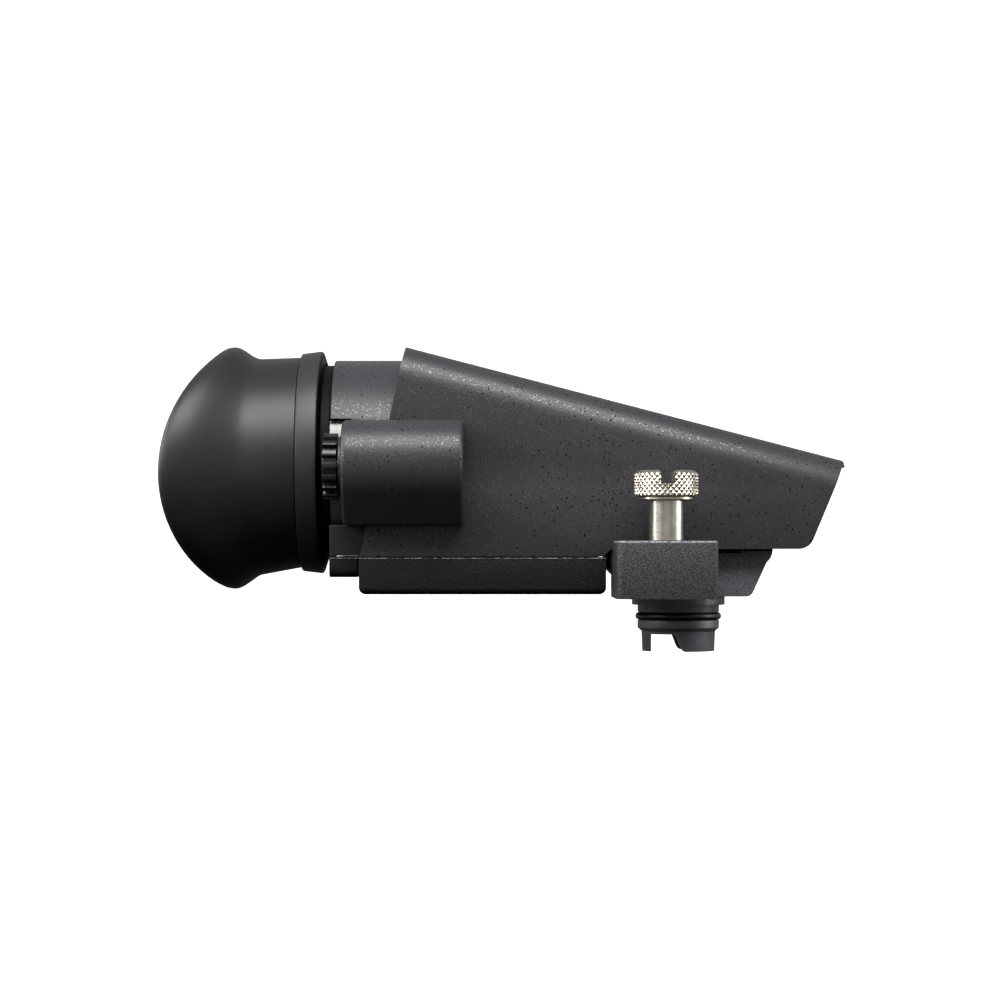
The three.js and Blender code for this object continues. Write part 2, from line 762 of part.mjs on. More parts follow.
function lensTube() {
  const flange = frameRearX - seam;
  const seatInner = tubeInnerRadius;
  const grooveRadius = neckOuterRadius - snapGrooveDepth;
  const body = turned(
    [
      [neckRearX, neckInnerRadius],
      [neckRearX, neckOuterRadius - edgeBreak],
      [neckRearX + edgeBreak, neckOuterRadius],
      [snapGrooveX, neckOuterRadius],
      [snapGrooveX, grooveRadius],
      [snapGrooveX + snapGrooveWidth, grooveRadius],
      [snapGrooveX + snapGrooveWidth, neckOuterRadius],
      [flange, neckOuterRadius],
      [flange, tubeOuterRadius],
      [tubeFrontX, tubeOuterRadius],
      [tubeFrontX, seatInner],
      [windowSeatX, seatInner],
      [windowSeatX, neckInnerRadius],
      [neckRearX, neckInnerRadius],
    ],
    "x",
    frameAxis,
    fineSteps,
  );
  const window = block(
    carriageRearX - carriageTravel + armWidth / 2,
    carriageRearX + carriageLength + carriageTravel - armWidth / 2,
    -tubeOuterRadius - overrun,
    0,
    dialAxisHeight - armHalfHeight - runningGap,
    dialAxisHeight + armHalfHeight + runningGap,
  );
  const padRearX = flange - tubeWall;
  const [padInner, padOuter] = [tubeOuterRadius - seam, neckOuterRadius - seatGap];
  const pad = ring("x", padRearX, padFrontX, padInner, padOuter, frameAxis, fineSteps);
  const [low, high] = [slotBottom + seatGap, slotTop - seatGap];
  const inSlot = block(padRearX, padFrontX, -neckOuterRadius, 0, low, high);
  return join(body.subtract(window), pad.intersect(inSlot));
}

// A lens with a cylindrical edge and a flat rim from x0 to x1, and a bulge of the given sag on
// each side
function lens(x0, x1, radius, rearSag, frontSag) {
  const steps = 4;
  const clear = radius - lockRingDepth - seam;
  const face = (x, sag, sign) =>
    Array.from({ length: steps + 1 }, (_, i) => {
      const share = i / steps;
      return [x + sign * sag * (1 - share * share), clear * share];
    });
  const edge = [[x0, radius], [x1, radius]];
  const profile = [...face(x0, rearSag, -1), ...edge, ...face(x1, frontSag, 1).reverse()];
  return turned(profile, "x", frameAxis, middleSteps);
}

// The cover's outline in (y, z), drawn in by inset: a rounded shoulder, a flat side and a lower
// face that leans in under it
function coverSection(inset, rootY) {
  const outerY = coverOuterY + inset;
  const top = dialAxisHeight + coverRise - inset;
  const bend = dialAxisHeight - coverBendDrop + inset * tan(coverLean / 2);
  const bottom = dialAxisHeight - coverFall + inset;
  const lowerY = outerY + (bend - bottom) * tan(coverLean);
  return outline([
    [rootY, top],
    [outerY, top, coverTopRadius - inset],
    [outerY, bend, coverBendRadius - inset],
    [lowerY, bottom, Math.max(coverFootRadius - inset, edgeBreak)],
    [rootY, bottom],
  ]);
}

function dioptreCover() {
  const rootY = -frameHalfWidth + overrun;
  const inner = -frameHalfWidth - seam;
  const wallRearX = coverRearX + coverWall;
  const wallFrontX = coverFrontX - coverEndWall;
  const outer = alongX(coverSection(0, rootY), coverRearX, coverFrontX, coverEdgeRadius, bendSteps);
  const boss = rod("x", coverRearX - bossHeight, coverRearX + coverEdgeRadius, bossRadius, dialAxis);
  const hollow = alongX(coverSection(coverWall, rootY + overrun), wallRearX, wallFrontX, 0, bendSteps);
  const [rear, front] = [coverRearX - overrun, coverFrontX + overrun];
  const frameSide = block(rear, front, inner, rootY + overrun, 0, roofRearHeight);
  const bushHole = rod("x", rear, wallRearX + overrun, bushRadius + seam, dialAxis, smallSteps);
  const journalEnd = coverFrontX - coverWall;
  const journalHole = rod("x", wallFrontX - overrun, journalEnd, journalHoleRadius, dialAxis, smallSteps);
  return cut(join(outer, boss), hollow, frameSide, housingBody(seam), bushHole, journalHole);
}

function dialBush() {
  const front = coverRearX + coverWall + seam;
  return turned(
    [
      [coverRearX - bossHeight, journalHoleRadius],
      [coverRearX - bossHeight, bushRadius],
      [front, bushRadius],
      [front, bushFlangeRadius],
      [front + bushFlangeWidth, bushFlangeRadius],
      [front + bushFlangeWidth, journalHoleRadius],
      [coverRearX - bossHeight, journalHoleRadius],
    ],
    "x",
    dialAxis,
    smallSteps,
  );
}

// The dial: square ribs round the rim, stiff enough for a fingertip
function dioptreDial() {
  const shape = new THREE.Shape();
  const root = dialRadius - dialRibHeight;
  const pitch = (2 * Math.PI) / dialRibs;
  const cornerShares = [
    [-0.5, root],
    [-0.27, root],
    [-0.2, dialRadius],
    [0.2, dialRadius],
    [0.27, root],
  ];
  for (let i = 0; i < dialRibs; i += 1) {
    for (const [share, radius] of cornerShares) {
      const angle = (i + share) * pitch;
      const [y, z] = [radius * Math.cos(angle), radius * Math.sin(angle)];
      if (shape.curves.length || shape.currentPoint.length()) shape.lineTo(y, z);
      else shape.moveTo(y, z);
    }
  }
  shape.closePath();
  const front = dialRearX + dialWidth;
  const disc = alongX(shape, dialRearX, front).translate([0, dialAxisY, dialAxisHeight]);
  return disc.subtract(rod("x", dialRearX + dialFace, front + overrun, dialBore, dialAxis, smallSteps));
}

function leadScrew() {
  const threadStart = coverRearX + coverWall + seam + bushFlangeWidth + runningGap;
  const threadEnd = coverFrontX - coverEndWall - runningGap;
  return turned(
    [
      [dialRearX + dialFace + seatGap, 0],
      [dialRearX + dialFace + seatGap, journalRadius],
      [threadStart, journalRadius],
      [threadStart, leadScrewRadius],
      [threadEnd, leadScrewRadius],
      [threadEnd, journalRadius],
      [coverFrontX - coverWall - seatGap, journalRadius],
      [coverFrontX - coverWall - seatGap, 0],
    ],
    "x",
    dialAxis,
    smallSteps,
  );
}

const carriageRadius = tubeInnerRadius - seatGap;
const carriageFrontX = carriageRearX + carriageLength;
const carriageBore = carriageRadius - carriageWall;
const lensRadius = carriageBore - seam;

function lensCarriage() {
  const body = turned(
    [
      [carriageRearX, carriageBore],
      [carriageRearX, carriageRadius],
      [carriageFrontX, carriageRadius],
      [carriageFrontX, carriageBore],
      [shoulderFrontX, carriageBore],
      [shoulderFrontX, carriageBore - shoulderWall],
      [shoulderRearX, carriageBore - shoulderWall],
      [shoulderRearX, carriageBore],
      [carriageRearX, carriageBore],
    ],
    "x",
    frameAxis,
    fineSteps,
  );
  const middle = carriageRearX + carriageLength / 2;
  const [x0, x1] = [middle - armWidth / 2, middle + armWidth / 2];
  const [low, high] = [dialAxisHeight - armHalfHeight, dialAxisHeight + armHalfHeight];
  const arm = block(x0, x1, dialAxisY, -carriageBore - carriageWall / 2, low, high);
  const nut = rod("x", x0, x1, nutRadius, dialAxis, smallSteps);
  const bore = rod("x", x0 - overrun, x1 + overrun, leadScrewRadius + shaftGap, dialAxis, smallSteps);
  return cut(join(body, arm, nut), bore);
}

// The snap ring of the eyecup: it turns in the tube's groove
function eyecupRing() {
  const inner = neckOuterRadius + seatGap;
  const lip = neckOuterRadius - snapGrooveDepth + seatGap;
  const lipX = [snapGrooveX + seam, snapGrooveX + snapGrooveWidth - seam];
  const spigotRadius = cupNeckRadius - cupWall - seatGap;
  return turned(
    [
      [ringRearX - ringSpigotLength, spigotRadius - ringSpigotWall],
      [ringRearX - ringSpigotLength, spigotRadius],
      [ringRearX, spigotRadius],
      [ringRearX, ringRearRadius],
      [ringEdgeX, ringFrontRadius],
      [ringFrontX, inner + edgeBreak],
      [ringFrontX, inner],
      [lipX[1], inner],
      [lipX[1], lip],
      [lipX[0], lip],
      [lipX[0], inner],
      [neckRearX - seatGap, inner],
      [neckRearX - seatGap, spigotRadius - ringSpigotWall],
      [ringRearX - ringSpigotLength, spigotRadius - ringSpigotWall],
    ],
    "x",
    frameAxis,
    fineSteps,
  );
}

// The rubber cup: a bell whose rim runs far back on the temple side. At each angle round the
// axis the wall follows one profile out to the rim and back along the inside.
const cupNeckX = ringRearX - seam;
function eyecup() {
  const around = fineSteps;
  const neckSteps = 2;
  const flareSteps = 6;
  const along = neckSteps + flareSteps;
  const rimTurns = 4;
  const positions = [];
  const index = [];
  const { lerp, smoothstep } = THREE.MathUtils;
  const droop = radians(cupWingDroop);
  const profile = (angle) => {
    const wing = Math.max(0, -Math.cos(angle - droop)) ** cupWingPower;
    const nose = Math.max(0, Math.cos(angle)) ** 2;
    const rimX = cupLipX - cupWingLength * wing + cupShortSide * nose;
    const rimRadius = cupLipRadius + cupWingFlare * wing;
    const waistX = Math.max(cupWaistX, rimX + cupFlareLeast);
    const outer = [];
    for (let i = 0; i <= along; i += 1) {
      const neckShare = Math.min(1, i / neckSteps);
      const flareShare = Math.max(0, (i - neckSteps) / flareSteps);
      const x = lerp(lerp(cupNeckX, waistX, neckShare), rimX, flareShare);
      const neckRadius = lerp(cupNeckRadius, cupWaistRadius, neckShare);
      const radius = lerp(neckRadius, rimRadius, smoothstep(flareShare, 0, 1));
      outer.push([x, radius, cupLipDrop * Math.min(1, (cupNeckX - x) / cupDropLength)]);
    }
    const inner = outer.map(([x, radius, drop], i) => {
      const wall = cupWall + (cupRimWall - cupWall) * (i / along);
      return [x, radius - wall, drop];
    });
    const rimInner = inner.pop();
    const rimOuter = outer.pop();
    const turns = Array.from({ length: rimTurns + 1 }, (_, i) => {
      const a = (Math.PI * i) / rimTurns;
      const middle = (rimOuter[1] + rimInner[1]) / 2;
      const half = (rimOuter[1] - rimInner[1]) / 2;
      return [rimX - cupLipReach * Math.sin(a), middle + half * Math.cos(a), rimOuter[2]];
    });
    return [...outer, ...turns, ...inner.reverse()];
  };
  let profileLength = 0;
  for (let j = 0; j < around; j += 1) {
    const angle = (2 * Math.PI * j) / around;
    const points = profile(angle);
    profileLength = points.length;
    for (const [x, radius, drop] of points) {
      const height = opticalAxisHeight - drop + radius * Math.sin(angle);
      positions.push(x, radius * Math.cos(angle), height);
    }
  }
  for (let j = 0; j < around; j += 1) {
    const [row, nextRow] = [j * profileLength, ((j + 1) % around) * profileLength];
    for (let i = 0; i < profileLength; i += 1) {
      const next = (i + 1) % profileLength;
      const [a, b, c, d] = [row + i, row + next, nextRow + i, nextRow + next];
      index.push(a, b, c, b, d, c);
    }
  }
  const geometry = new THREE.BufferGeometry();
  geometry.setAttribute("position", new THREE.Float32BufferAttribute(positions, 3));
  geometry.setIndex(index);
  return solidOf(geometry);
}

// Display and electronics
const holderRearX = frameFrontX + seam;
const displayX = holderRearX + displayHolderThickness + seam;

function displayHolder() {
  const middle = opticalAxisHeight;
  const framed = (halfWidth, halfHeight, x0, x1) =>
    block(x0, x1, -halfWidth, halfWidth, middle - halfHeight, middle + halfHeight);
  const front = holderRearX + displayHolderThickness;
  const plate = framed(displayHolderHalfWidth, displayHolderHalfHeight, holderRearX, front);
  const [rear, past] = [holderRearX - overrun, displayX + overrun];
  return plate.subtract(framed(displayWindowHalfWidth, displayWindowHalfHeight, rear, past));
}

function displayFlex() {
  const [outerBend, innerBend] = flexBends;
  const x0 = displayX + displayThickness + seam;
  const level = boardHeight + boardThickness + seam;
  const side = outline([
    [x0, opticalAxisHeight],
    [x0, level, flexThickness * outerBend],
    [rearPostX, level],
    [rearPostX, level + flexThickness],
    [x0 + flexThickness, level + flexThickness, flexThickness * innerBend],
    [x0 + flexThickness, opticalAxisHeight],
  ]);
  return alongY(side, -flexHalfWidth, flexHalfWidth);
}

function mainBoard() {
  const top = boardHeight + boardThickness;
  const plate = block(boardRearX, boardFrontX, -boardHalfWidth, boardHalfWidth, boardHeight, top);
  const length = boardFrontX - boardRearX;
  const chips = chipShares.map(([x0Share, x1Share, y0Share, y1Share]) =>
    block(
      boardRearX + length * x0Share,
      boardRearX + length * x1Share,
      boardHalfWidth * y0Share,
      boardHalfWidth * y1Share,
      top - boardThickness / 2,
      top + chipHeight,
    ),
  );
  const holes = [-1, 1].map((s) =>
    pinAt(frontPostX, s * postY, boardHeight - overrun, top + overrun, smallHole),
  );
  return cut(join(plate, ...chips), ...holes);
}

// The foot: a box casting with a sloping front, a chamfered heel and two hinge ears
const pocketRearX = footRearX + footWall;
const pocketHalfWidth = footHalfWidth - footWall;
const footCoverTop = footHeight - seam / 2;
const footCoverBottom = footCoverTop - footCoverThickness;
const footBossInset = footScrewInset - footCoverLedge;
const footBossY = pocketHalfWidth - footBossInset;
const footBosses = [pocketRearX + footBossInset, footPocketFrontX - footBossInset].flatMap((x) =>
  [-1, 1].map((s) => [x, s * footBossY]),
);

// The round seat for the plug's flange reaches across the foot and the screw block
function flangeSeat() {
  return rod("z", -overrun, plugFlangeSeat, plugFlangeRadius + shaftGap, plugAxis, fineSteps);
}

function mountFoot() {
  const topX = footFrontX + footHeight * tan(footFrontLean);
  const side = outline([
    [footRearX, footChamferHeight],
    [footRearX + footChamferHeight, 0],
    [footFrontX, 0, footFrontRadius],
    [topX, footHeight],
    [footRearX, footHeight],
  ]);
  const body = alongY(side, -footHalfWidth, footHalfWidth);
  const ears = [-1, 1].map((s) => {
    const ends = [s * earInnerY, s * footHalfWidth].sort((a, b) => a - b);
    return rod("y", ends[0], ends[1], knuckleRadius, hingeAxis);
  });
  const between = rod("y", -earInnerY, earInnerY, knuckleRadius + knuckleRelief, hingeAxis);
  const half = pocketHalfWidth;
  const pocket = block(pocketRearX, footPocketFrontX, -half, half, footFloor, footHeight + overrun);
  const rebate = block(
    pocketRearX - footCoverLedge,
    footPocketFrontX + footCoverLedge,
    -pocketHalfWidth - footCoverLedge,
    pocketHalfWidth + footCoverLedge,
    footCoverBottom - seam,
    footHeight + overrun,
  );
  const bosses = footBosses.map(([x, y]) =>
    pinAt(x, y, footFloor / 2, footCoverBottom - seam, footScrewInset),
  );
  const screwHoles = footBosses.map(([x, y]) => pinAt(x, y, footFloor, footHeight, smallHole));
  const ribs = ribShares.map((share) =>
    block(
      pocketRearX,
      footPocketFrontX,
      terminalBoardHalfWidth * share - ribWidth,
      terminalBoardHalfWidth * share,
      footFloor / 2,
      terminalBoardHeight - seatGap,
    ),
  );
  const plugHole = rod("z", -overrun, footFloor + overrun, plugSpigotRadius + seam, plugAxis);
  const plugScrewHoles = [-1, 1].map((s) =>
    pinAt(s * plugScrewSpread, plugY, -overrun, footFloor + overrun, smallHole),
  );
  const [boreStart, boreEnd] = [-footHalfWidth + shaftEndCover, footHalfWidth + overrun];
  const shaftBore = rod("y", boreStart, boreEnd, shaftHole, hingeAxis, smallSteps);
  const [outside, inside] = [-footHalfWidth - overrun, -pocketHalfWidth + overrun];
  const blockHoles = blockScrewX.map((x) =>
    rod("y", outside, inside, smallHole, [x, 0, blockScrewHeight], tinySteps),
  );
  const shell = join(cut(join(body, ...ears), between, pocket, rebate), ...bosses, ...ribs);
  const holes = [...screwHoles, ...plugScrewHoles, ...blockHoles];
  return cut(shell, ...holes, plugHole, flangeSeat(), shaftBore);
}

function footCover() {
  const plate = block(
    pocketRearX - footCoverLedge + seam,
    footPocketFrontX + footCoverLedge - seam,
    -pocketHalfWidth - footCoverLedge + seam,
    pocketHalfWidth + footCoverLedge - seam,
    footCoverBottom,
    footCoverTop,
  );
  const holes = footBosses.flatMap(([x, y]) => [
    pinAt(x, y, 0, footHeight + overrun, smallHole),
    pinAt(x, y, footCoverTop - smallHeadHeight, footHeight + overrun, smallHeadHole),
  ]);
  return cut(plate, ...holes);
}

// Screw block: stands beside the housing, joined to the foot by a lower neck
const blockFrontX = blockRearX + blockWidth;
const blockInnerY = -housingHalfWidth - runningGap - seam;
const blockRootY = -footHalfWidth - seam;
const blockScrewX = [blockRearX + blockScrewInset, blockFrontX - blockScrewFrontInset];
const blockScrewHeight = (footFloor + footCoverBottom) / 2;
const chamberTop = blockHeight - blockRoof;
const retainingPlateTop = shaftGap + retainingPlateThickness;
const screwCollarBottom = blockHeight + screwTravel + seatGap;
const retainingRingTop = chamberTop - seam;
const screwTip = shaftGap;
const gripHeight = blockHeight - blockRoof / 2; // middle of the rubber ring round the screw

function screwBlock() {
  const plan = box2(blockRearX, blockFrontX, blockOuterY, blockInnerY, blockEdgeRadius);
  const body = alongZ(plan, -blockTopRadius, blockHeight, blockTopRadius);
  const below = block(blockRearX, blockFrontX, blockOuterY, blockInnerY, -blockTopRadius - overrun, 0);
  const neckOuterY = (blockOuterY + blockInnerY) / 2;
  const neckPlan = box2(blockRearX, blockFrontX, neckOuterY, blockRootY, edgeBreak);
  const neck = alongZ(neckPlan, 0, blockNeckHeight);
  const groove = frictionRingHeight / 2 + shaftGap;
  const grooveRadius = screwShankRadius + frictionRingDepth + seam;
  const bores = [
    rod("z", chamberTop - overrun, blockHeight + overrun, screwShankRadius + shaftGap, screwAxis),
    rod("z", 0, chamberTop, chamberRadius, screwAxis),
    rod("z", -overrun, retainingPlateTop + shaftGap, retainingPlateRadius + shaftGap, screwAxis),
    rod("z", gripHeight - groove, gripHeight + groove, grooveRadius, screwAxis),
  ];
  const [deep, past] = [blockRootY - smallScrewLength, blockRootY + overrun];
  for (const x of blockScrewX) {
    bores.push(rod("y", deep, past, smallHole, [x, 0, blockScrewHeight], tinySteps));
  }
  return cut(join(cut(body, below), neck), ...bores, flangeSeat());
}

function thumbScrew() {
  const collarTop = screwCollarBottom + screwCollarHeight;
  const headTop = collarTop + screwHeadHeight;
  const neckBottom = retainingRingTop - retainingRingThickness - seam;
  const body = turned(
    [
      [screwTip, 0],
      [screwTip, screwThreadRadius - edgeBreak],
      [screwTip + edgeBreak, screwThreadRadius],
      [neckBottom, screwThreadRadius],
      [neckBottom, screwNeckRadius],
      [retainingRingTop, screwNeckRadius],
      [retainingRingTop, screwShankRadius],
      [screwCollarBottom, screwShankRadius],
      [screwCollarBottom, screwCollarRadius],
      [collarTop, screwCollarRadius],
      [collarTop, screwHeadRadius - edgeBreak],
      [collarTop + edgeBreak, screwHeadRadius],
      [headTop - screwHeadChamfer, screwHeadRadius],
      [headTop, screwHeadRadius - screwHeadChamfer],
      [headTop, 0],
    ],
    "z",
    screwAxis,
  );
  const slot = block(
    screwX - coinSlotWidth / 2,
    screwX + coinSlotWidth / 2,
    screwY - screwHeadRadius - overrun,
    screwY + screwHeadRadius + overrun,
    headTop - coinSlotDepth,
    headTop + overrun,
  );
  return body.subtract(slot);
}

// Connector plug: flange, body with a seal groove, and a shroud with a keying notch across it
function plugShell() {
  const bore = plugShroudRadius - plugShroudWall;
  const stemBore = plugSpigotRadius - plugSpigotWall;
  const body = turned(
    [
      [plugTip, bore],
      [plugTip, plugShroudRadius - plugShroudTaper],
      [plugChamferBottom, plugShroudRadius],
      [plugLandBottom, plugBodyRadius],
      [plugGrooveBottom, plugBodyRadius],
      [plugGrooveBottom, plugGrooveRadius],
      [plugGrooveTop, plugGrooveRadius],
      [plugGrooveTop, plugBodyRadius],
      [plugFlangeBottom, plugBodyRadius],
      [plugFlangeBottom, plugFlangeRadius],
      [plugFlangeSeat - seam, plugFlangeRadius],
      [plugFlangeSeat - seam, plugSpigotRadius],
      [footFloor, plugSpigotRadius],
      [footFloor, stemBore],
      [plugCarrierSeat, stemBore],
      [plugCarrierSeat, bore],
      [plugTip, bore],
    ],
    "z",
    plugAxis,
    fineSteps,
  );
  const notch = new THREE.Shape();
  const middle = (notchCurveStart + notchCurveEnd) / 2;
  notch.moveTo(notchLeft, plugTip - overrun);
  notch.lineTo(notchLeft, notchTop);
  notch.lineTo(notchCurveStart, notchTop);
  notch.bezierCurveTo(middle, notchTop, middle, plugTip, notchCurveEnd, plugTip);
  notch.lineTo(notchCurveEnd, plugTip - overrun);
  notch.closePath();
  const [deep, past] = [plugFlangeSeat - plugScrewDepth, plugFlangeSeat + overrun];
  const threads = [-1, 1].map((s) => pinAt(s * plugScrewSpread, plugY, deep, past, smallHole));
  const [near, far] = [plugY - plugFlangeRadius, plugY + plugFlangeRadius];
  return cut(body, alongY(notch, near, far, 0, bendSteps), ...threads);
}

// A rubber ring with a rounded section, level with z and centred on the z axis
function sealRing(inner, outer, height) {
  const sides = 6;
  const [middle, half] = [(outer + inner) / 2, (outer - inner) / 2];
  const profile = Array.from({ length: sides + 1 }, (_, i) => {
    const angle = (2 * Math.PI * i) / sides;
    return [(height / 2) * Math.sin(angle), middle + half * Math.cos(angle)];
  });
  return turned(profile, "z", [0, 0, 0], middleSteps);
}

// Pins stand in rows through the carrier
const pinPlaces = [];
for (let row = 0; row < pinRows; row += 1) {
  const y = plugY + (row - (pinRows - 1) / 2) * pinPitch;
  for (let i = 0; i < pinsInRow; i += 1) {
    pinPlaces.push([(i - (pinsInRow - 1) / 2) * pinPitch, y]);
  }
}
const pinBottom = notchTop + seam;
const pinTop = terminalBoardHeight - seatGap;

function contactCarrier() {
  const flange = plugShroudRadius - plugShroudWall - seam;
  const stem = plugSpigotRadius - plugSpigotWall - seam;
  const body = turned(
    [
      [carrierFaceHeight, 0],
      [carrierFaceHeight, flange],
      [plugCarrierSeat - seam, flange],
      [plugCarrierSeat - seam, stem],
      [footFloor + carrierStemHeight, stem],
      [footFloor + carrierStemHeight, 0],
    ],
    "z",
    plugAxis,
  );
  const [deep, past] = [carrierFaceHeight - overrun, terminalBoardHeight + overrun];
  const holes = pinPlaces.map(([x, y]) => pinAt(x, y, deep, past, pinRadius + shaftGap, pinSteps));
  return cut(body, ...holes);
}

// A screw that points along +z from its head at the origin, with a round socket
function smallScrew(radius, length, headRadius, headHeight) {
  const socket = headHeight * screwSocketDepthShare;
  return turned(
    [
      [socket, 0],
      [socket, screwSocketRadius],
      [0, screwSocketRadius],
      [0, headRadius],
      [headHeight, headRadius],
      [headHeight, radius],
      [length, radius],
      [length, 0],
    ],
    "z",
    [0, 0, 0],
    tinySteps,
  );
}

// The foot and everything that stays on the camera
add(mount, "mount_foot", mountFoot(), grainBlack);
add(mount, "foot_cover", footCover(), satinBlack);
add(mount, "screw_block", screwBlock(), grainBlack);
add(mount, "plug_shell", plugShell(), grainBlack);
add(mount, "contact_carrier", contactCarrier(), smoothBlack);

const sealHeight = plugGrooveTop - plugGrooveBottom - seam;
const seal = sealRing(plugGrooveRadius + shaftGap / 2, plugRingOuterRadius, sealHeight);
add(mount, "plug_seal_ring", seal, softRubber, [0, plugY, (plugGrooveTop + plugGrooveBottom) / 2]);

const pin = geometryOf(pinAt(0, 0, pinBottom, pinTop, pinRadius, pinSteps));
pinPlaces.forEach(([x, y], i) => add(mount, `contact_pin_${i + 1}`, pin, gold, [x, y, 0]));

add(
  mount,
  "terminal_board",
  block(
    pocketRearX + footScrewInset + seatGap,
    footPocketFrontX - footScrewInset,
    -terminalBoardHalfWidth + seam,
    terminalBoardHalfWidth,
    terminalBoardHeight,
    terminalBoardHeight + terminalBoardThickness,
  ),
  circuitGreen,
);

const plateBore = screwThreadRadius + seatGap;
const plate = ring("z", shaftGap, retainingPlateTop, plateBore, retainingPlateRadius, screwAxis);
add(mount, "retaining_plate", plate, steel);
const gripRadius = screwShankRadius + frictionRingDepth;
const gripRing = sealRing(screwShankRadius + shaftGap / 2, gripRadius, frictionRingHeight);
add(mount, "screw_grip_ring", gripRing, softRubber, [screwX, screwY, gripHeight]);

const footScrew = geometryOf(
  smallScrew(smallScrewRadius, smallScrewLength, smallHeadRadius, smallHeadHeight - seam),
);
footBosses.forEach(([x, y], i) =>
  add(mount, `foot_cover_screw_${i + 1}`, footScrew, steel, [x, y, footCoverTop], [Math.PI, 0, 0]),
);
[-1, 1].forEach((s, i) => {
  const place = [s * plugScrewSpread, plugY, footFloor + smallHeadHeight];
  add(mount, `plug_screw_${i + 1}`, footScrew, steel, place, [Math.PI, 0, 0]);
});
const blockScrew = geometryOf(
  smallScrew(smallScrewRadius, blockScrewLength, smallHeadRadius, smallHeadHeight - seam),
);
blockScrewX.forEach((x, i) => {
  const place = [x, -pocketHalfWidth + smallHeadHeight, blockScrewHeight];
  add(mount, `block_screw_${i + 1}`, blockScrew, steel, place, [Math.PI / 2, 0, 0]);
});

// Hinge shaft and washers
const shaftEnd = footHalfWidth - shaftEndCover - seam;
const shaft = rod("y", -shaftEnd, footHalfWidth - seam, shaftRadius, hingeAxis, smallSteps);
add(mount, "hinge_shaft", shaft, steel);
const halfWasher = washerThickness / 2;
const washer = geometryOf(
  ring("y", -halfWasher, halfWasher, shaftHole, washerRadius, [0, 0, 0], smallSteps),
);
for (const [side, s] of [["right", -1], ["left", 1]]) {
  const y = s * (knuckleHalfLength + seam / 2 + halfWasher);
  add(tilting, `hinge_washer_${side}`, washer, steel, [hingeX, y, hingeHeight]);
}

// Thumb screw and the ring that keeps it in the block
const keeperTop = retainingRingTop - seam / 2;
const keeperBottom = keeperTop - retainingRingThickness;
const keeperBore = screwNeckRadius + shaftGap;
const keeper = ring("z", keeperBottom, keeperTop, keeperBore, retainingRingRadius, screwAxis);
add(mount, "screw_retaining_ring", keeper, steel);
add(mount, "thumb_screw", thumbScrew(), nickel);

// Tilting housing
add(tilting, "main_housing", mainHousing(), satinBlack);
add(tilting, "base_cover", baseCover(), grainBlack);
add(tilting, "tilt_chassis", tiltChassis(), grainBlack);
add(tilting, "front_panel", frontPanel(), satinBlack);

const coverScrew = geometryOf(
  smallScrew(coverScrewRadius, coverScrewLength, coverHeadRadius, coverHeadHeight - seam),
);
[coverScrewRearX, coverScrewFrontX]
  .flatMap((x) => [-1, 1].map((s) => [x, s * coverScrewY, trayBottom + seam / 2]))
  .forEach((place, i) => add(tilting, `base_cover_screw_${i + 1}`, coverScrew, steel, place));
[-1, 1].forEach((s, i) => {
  const place = [chassisScrewX, s * coverScrewY, undersideHeight + seam / 2];
  add(tilting, `chassis_screw_${i + 1}`, coverScrew, steel, place);
});

add(tilting, "display_holder", displayHolder(), smoothBlack);
const displayPanel = block(
  displayX,
  displayX + displayThickness,
  -displayHalfWidth,
  displayHalfWidth,
  opticalAxisHeight - displayHalfHeight,
  opticalAxisHeight + displayHalfHeight,
);
add(tilting, "display_panel", displayPanel, glass);
add(tilting, "display_flex", displayFlex(), amberFilm);
add(tilting, "main_board", mainBoard(), circuitGreen);
[-1, 1].forEach((s, i) => {
  const place = [frontPostX, s * postY, boardHeight + boardThickness + smallHeadHeight];
  add(tilting, `board_screw_${i + 1}`, footScrew, steel, place, [Math.PI, 0, 0]);
});

// Eyepiece
add(eyepiece, "eyepiece_frame", eyepieceFrame(), satinBlack);
add(eyepiece, "eyepiece_chin", eyepieceChin(), grainBlack);
add(eyepiece, "lens_tube", lensTube(), lightAluminium);
const windowRadius = neckInnerRadius - seam;
const windowFront = windowSeatX - seam;
const windowRear = windowFront - windowThickness;
const window = lens(windowRear, windowFront, windowRadius, windowSag, 0);
add(eyepiece, "eyepiece_window", window, glass);
const lockFront = windowRear - seam;
const lockRear = lockFront - lockRingWidth;
const lockBore = neckInnerRadius - lockRingDepth;
const lockRing = ring("x", lockRear, lockFront, lockBore, windowRadius, frameAxis, fineSteps);
add(eyepiece, "window_ring", lockRing, smoothBlack);
add(eyepiece, "dioptre_cover", dioptreCover(), satinBlack);
add(eyepiece, "dial_bush", dialBush(), gold);
add(eyepiece, "dioptre_dial", dioptreDial(), smoothBlack);
add(eyepiece, "lead_screw", leadScrew(), steel);
add(eyepiece, "lens_carriage", lensCarriage(), smoothBlack);
const eyeLensFront = shoulderRearX - seam;
const eyeLensRear = eyeLensFront - eyeLensEdge;
const eyeLens = lens(eyeLensRear, eyeLensFront, lensRadius, eyeLensSag, eyeLensSag);
add(eyepiece, "eye_lens", eyeLens, glass);
const fieldLensRear = shoulderFrontX + seam;
const fieldLensFront = fieldLensRear + fieldLensEdge;
add(eyepiece, "field_lens", lens(fieldLensRear, fieldLensFront, lensRadius, 0, fieldLensSag), glass);
const lensRingFront = eyeLensRear - seam;
const lensRingRear = lensRingFront - lockRingWidth;
const lensRingBore = lensRadius - lockRingDepth;
const lensRing = ring("x", lensRingRear, lensRingFront, lensRingBore, lensRadius, frameAxis);
add(eyepiece, "lens_ring", lensRing, smoothBlack);
add(eyepiece, "eyecup_ring", eyecupRing(), rubber);
add(eyepiece, "eyecup", eyecup(), rubber);

export default viewfinder;
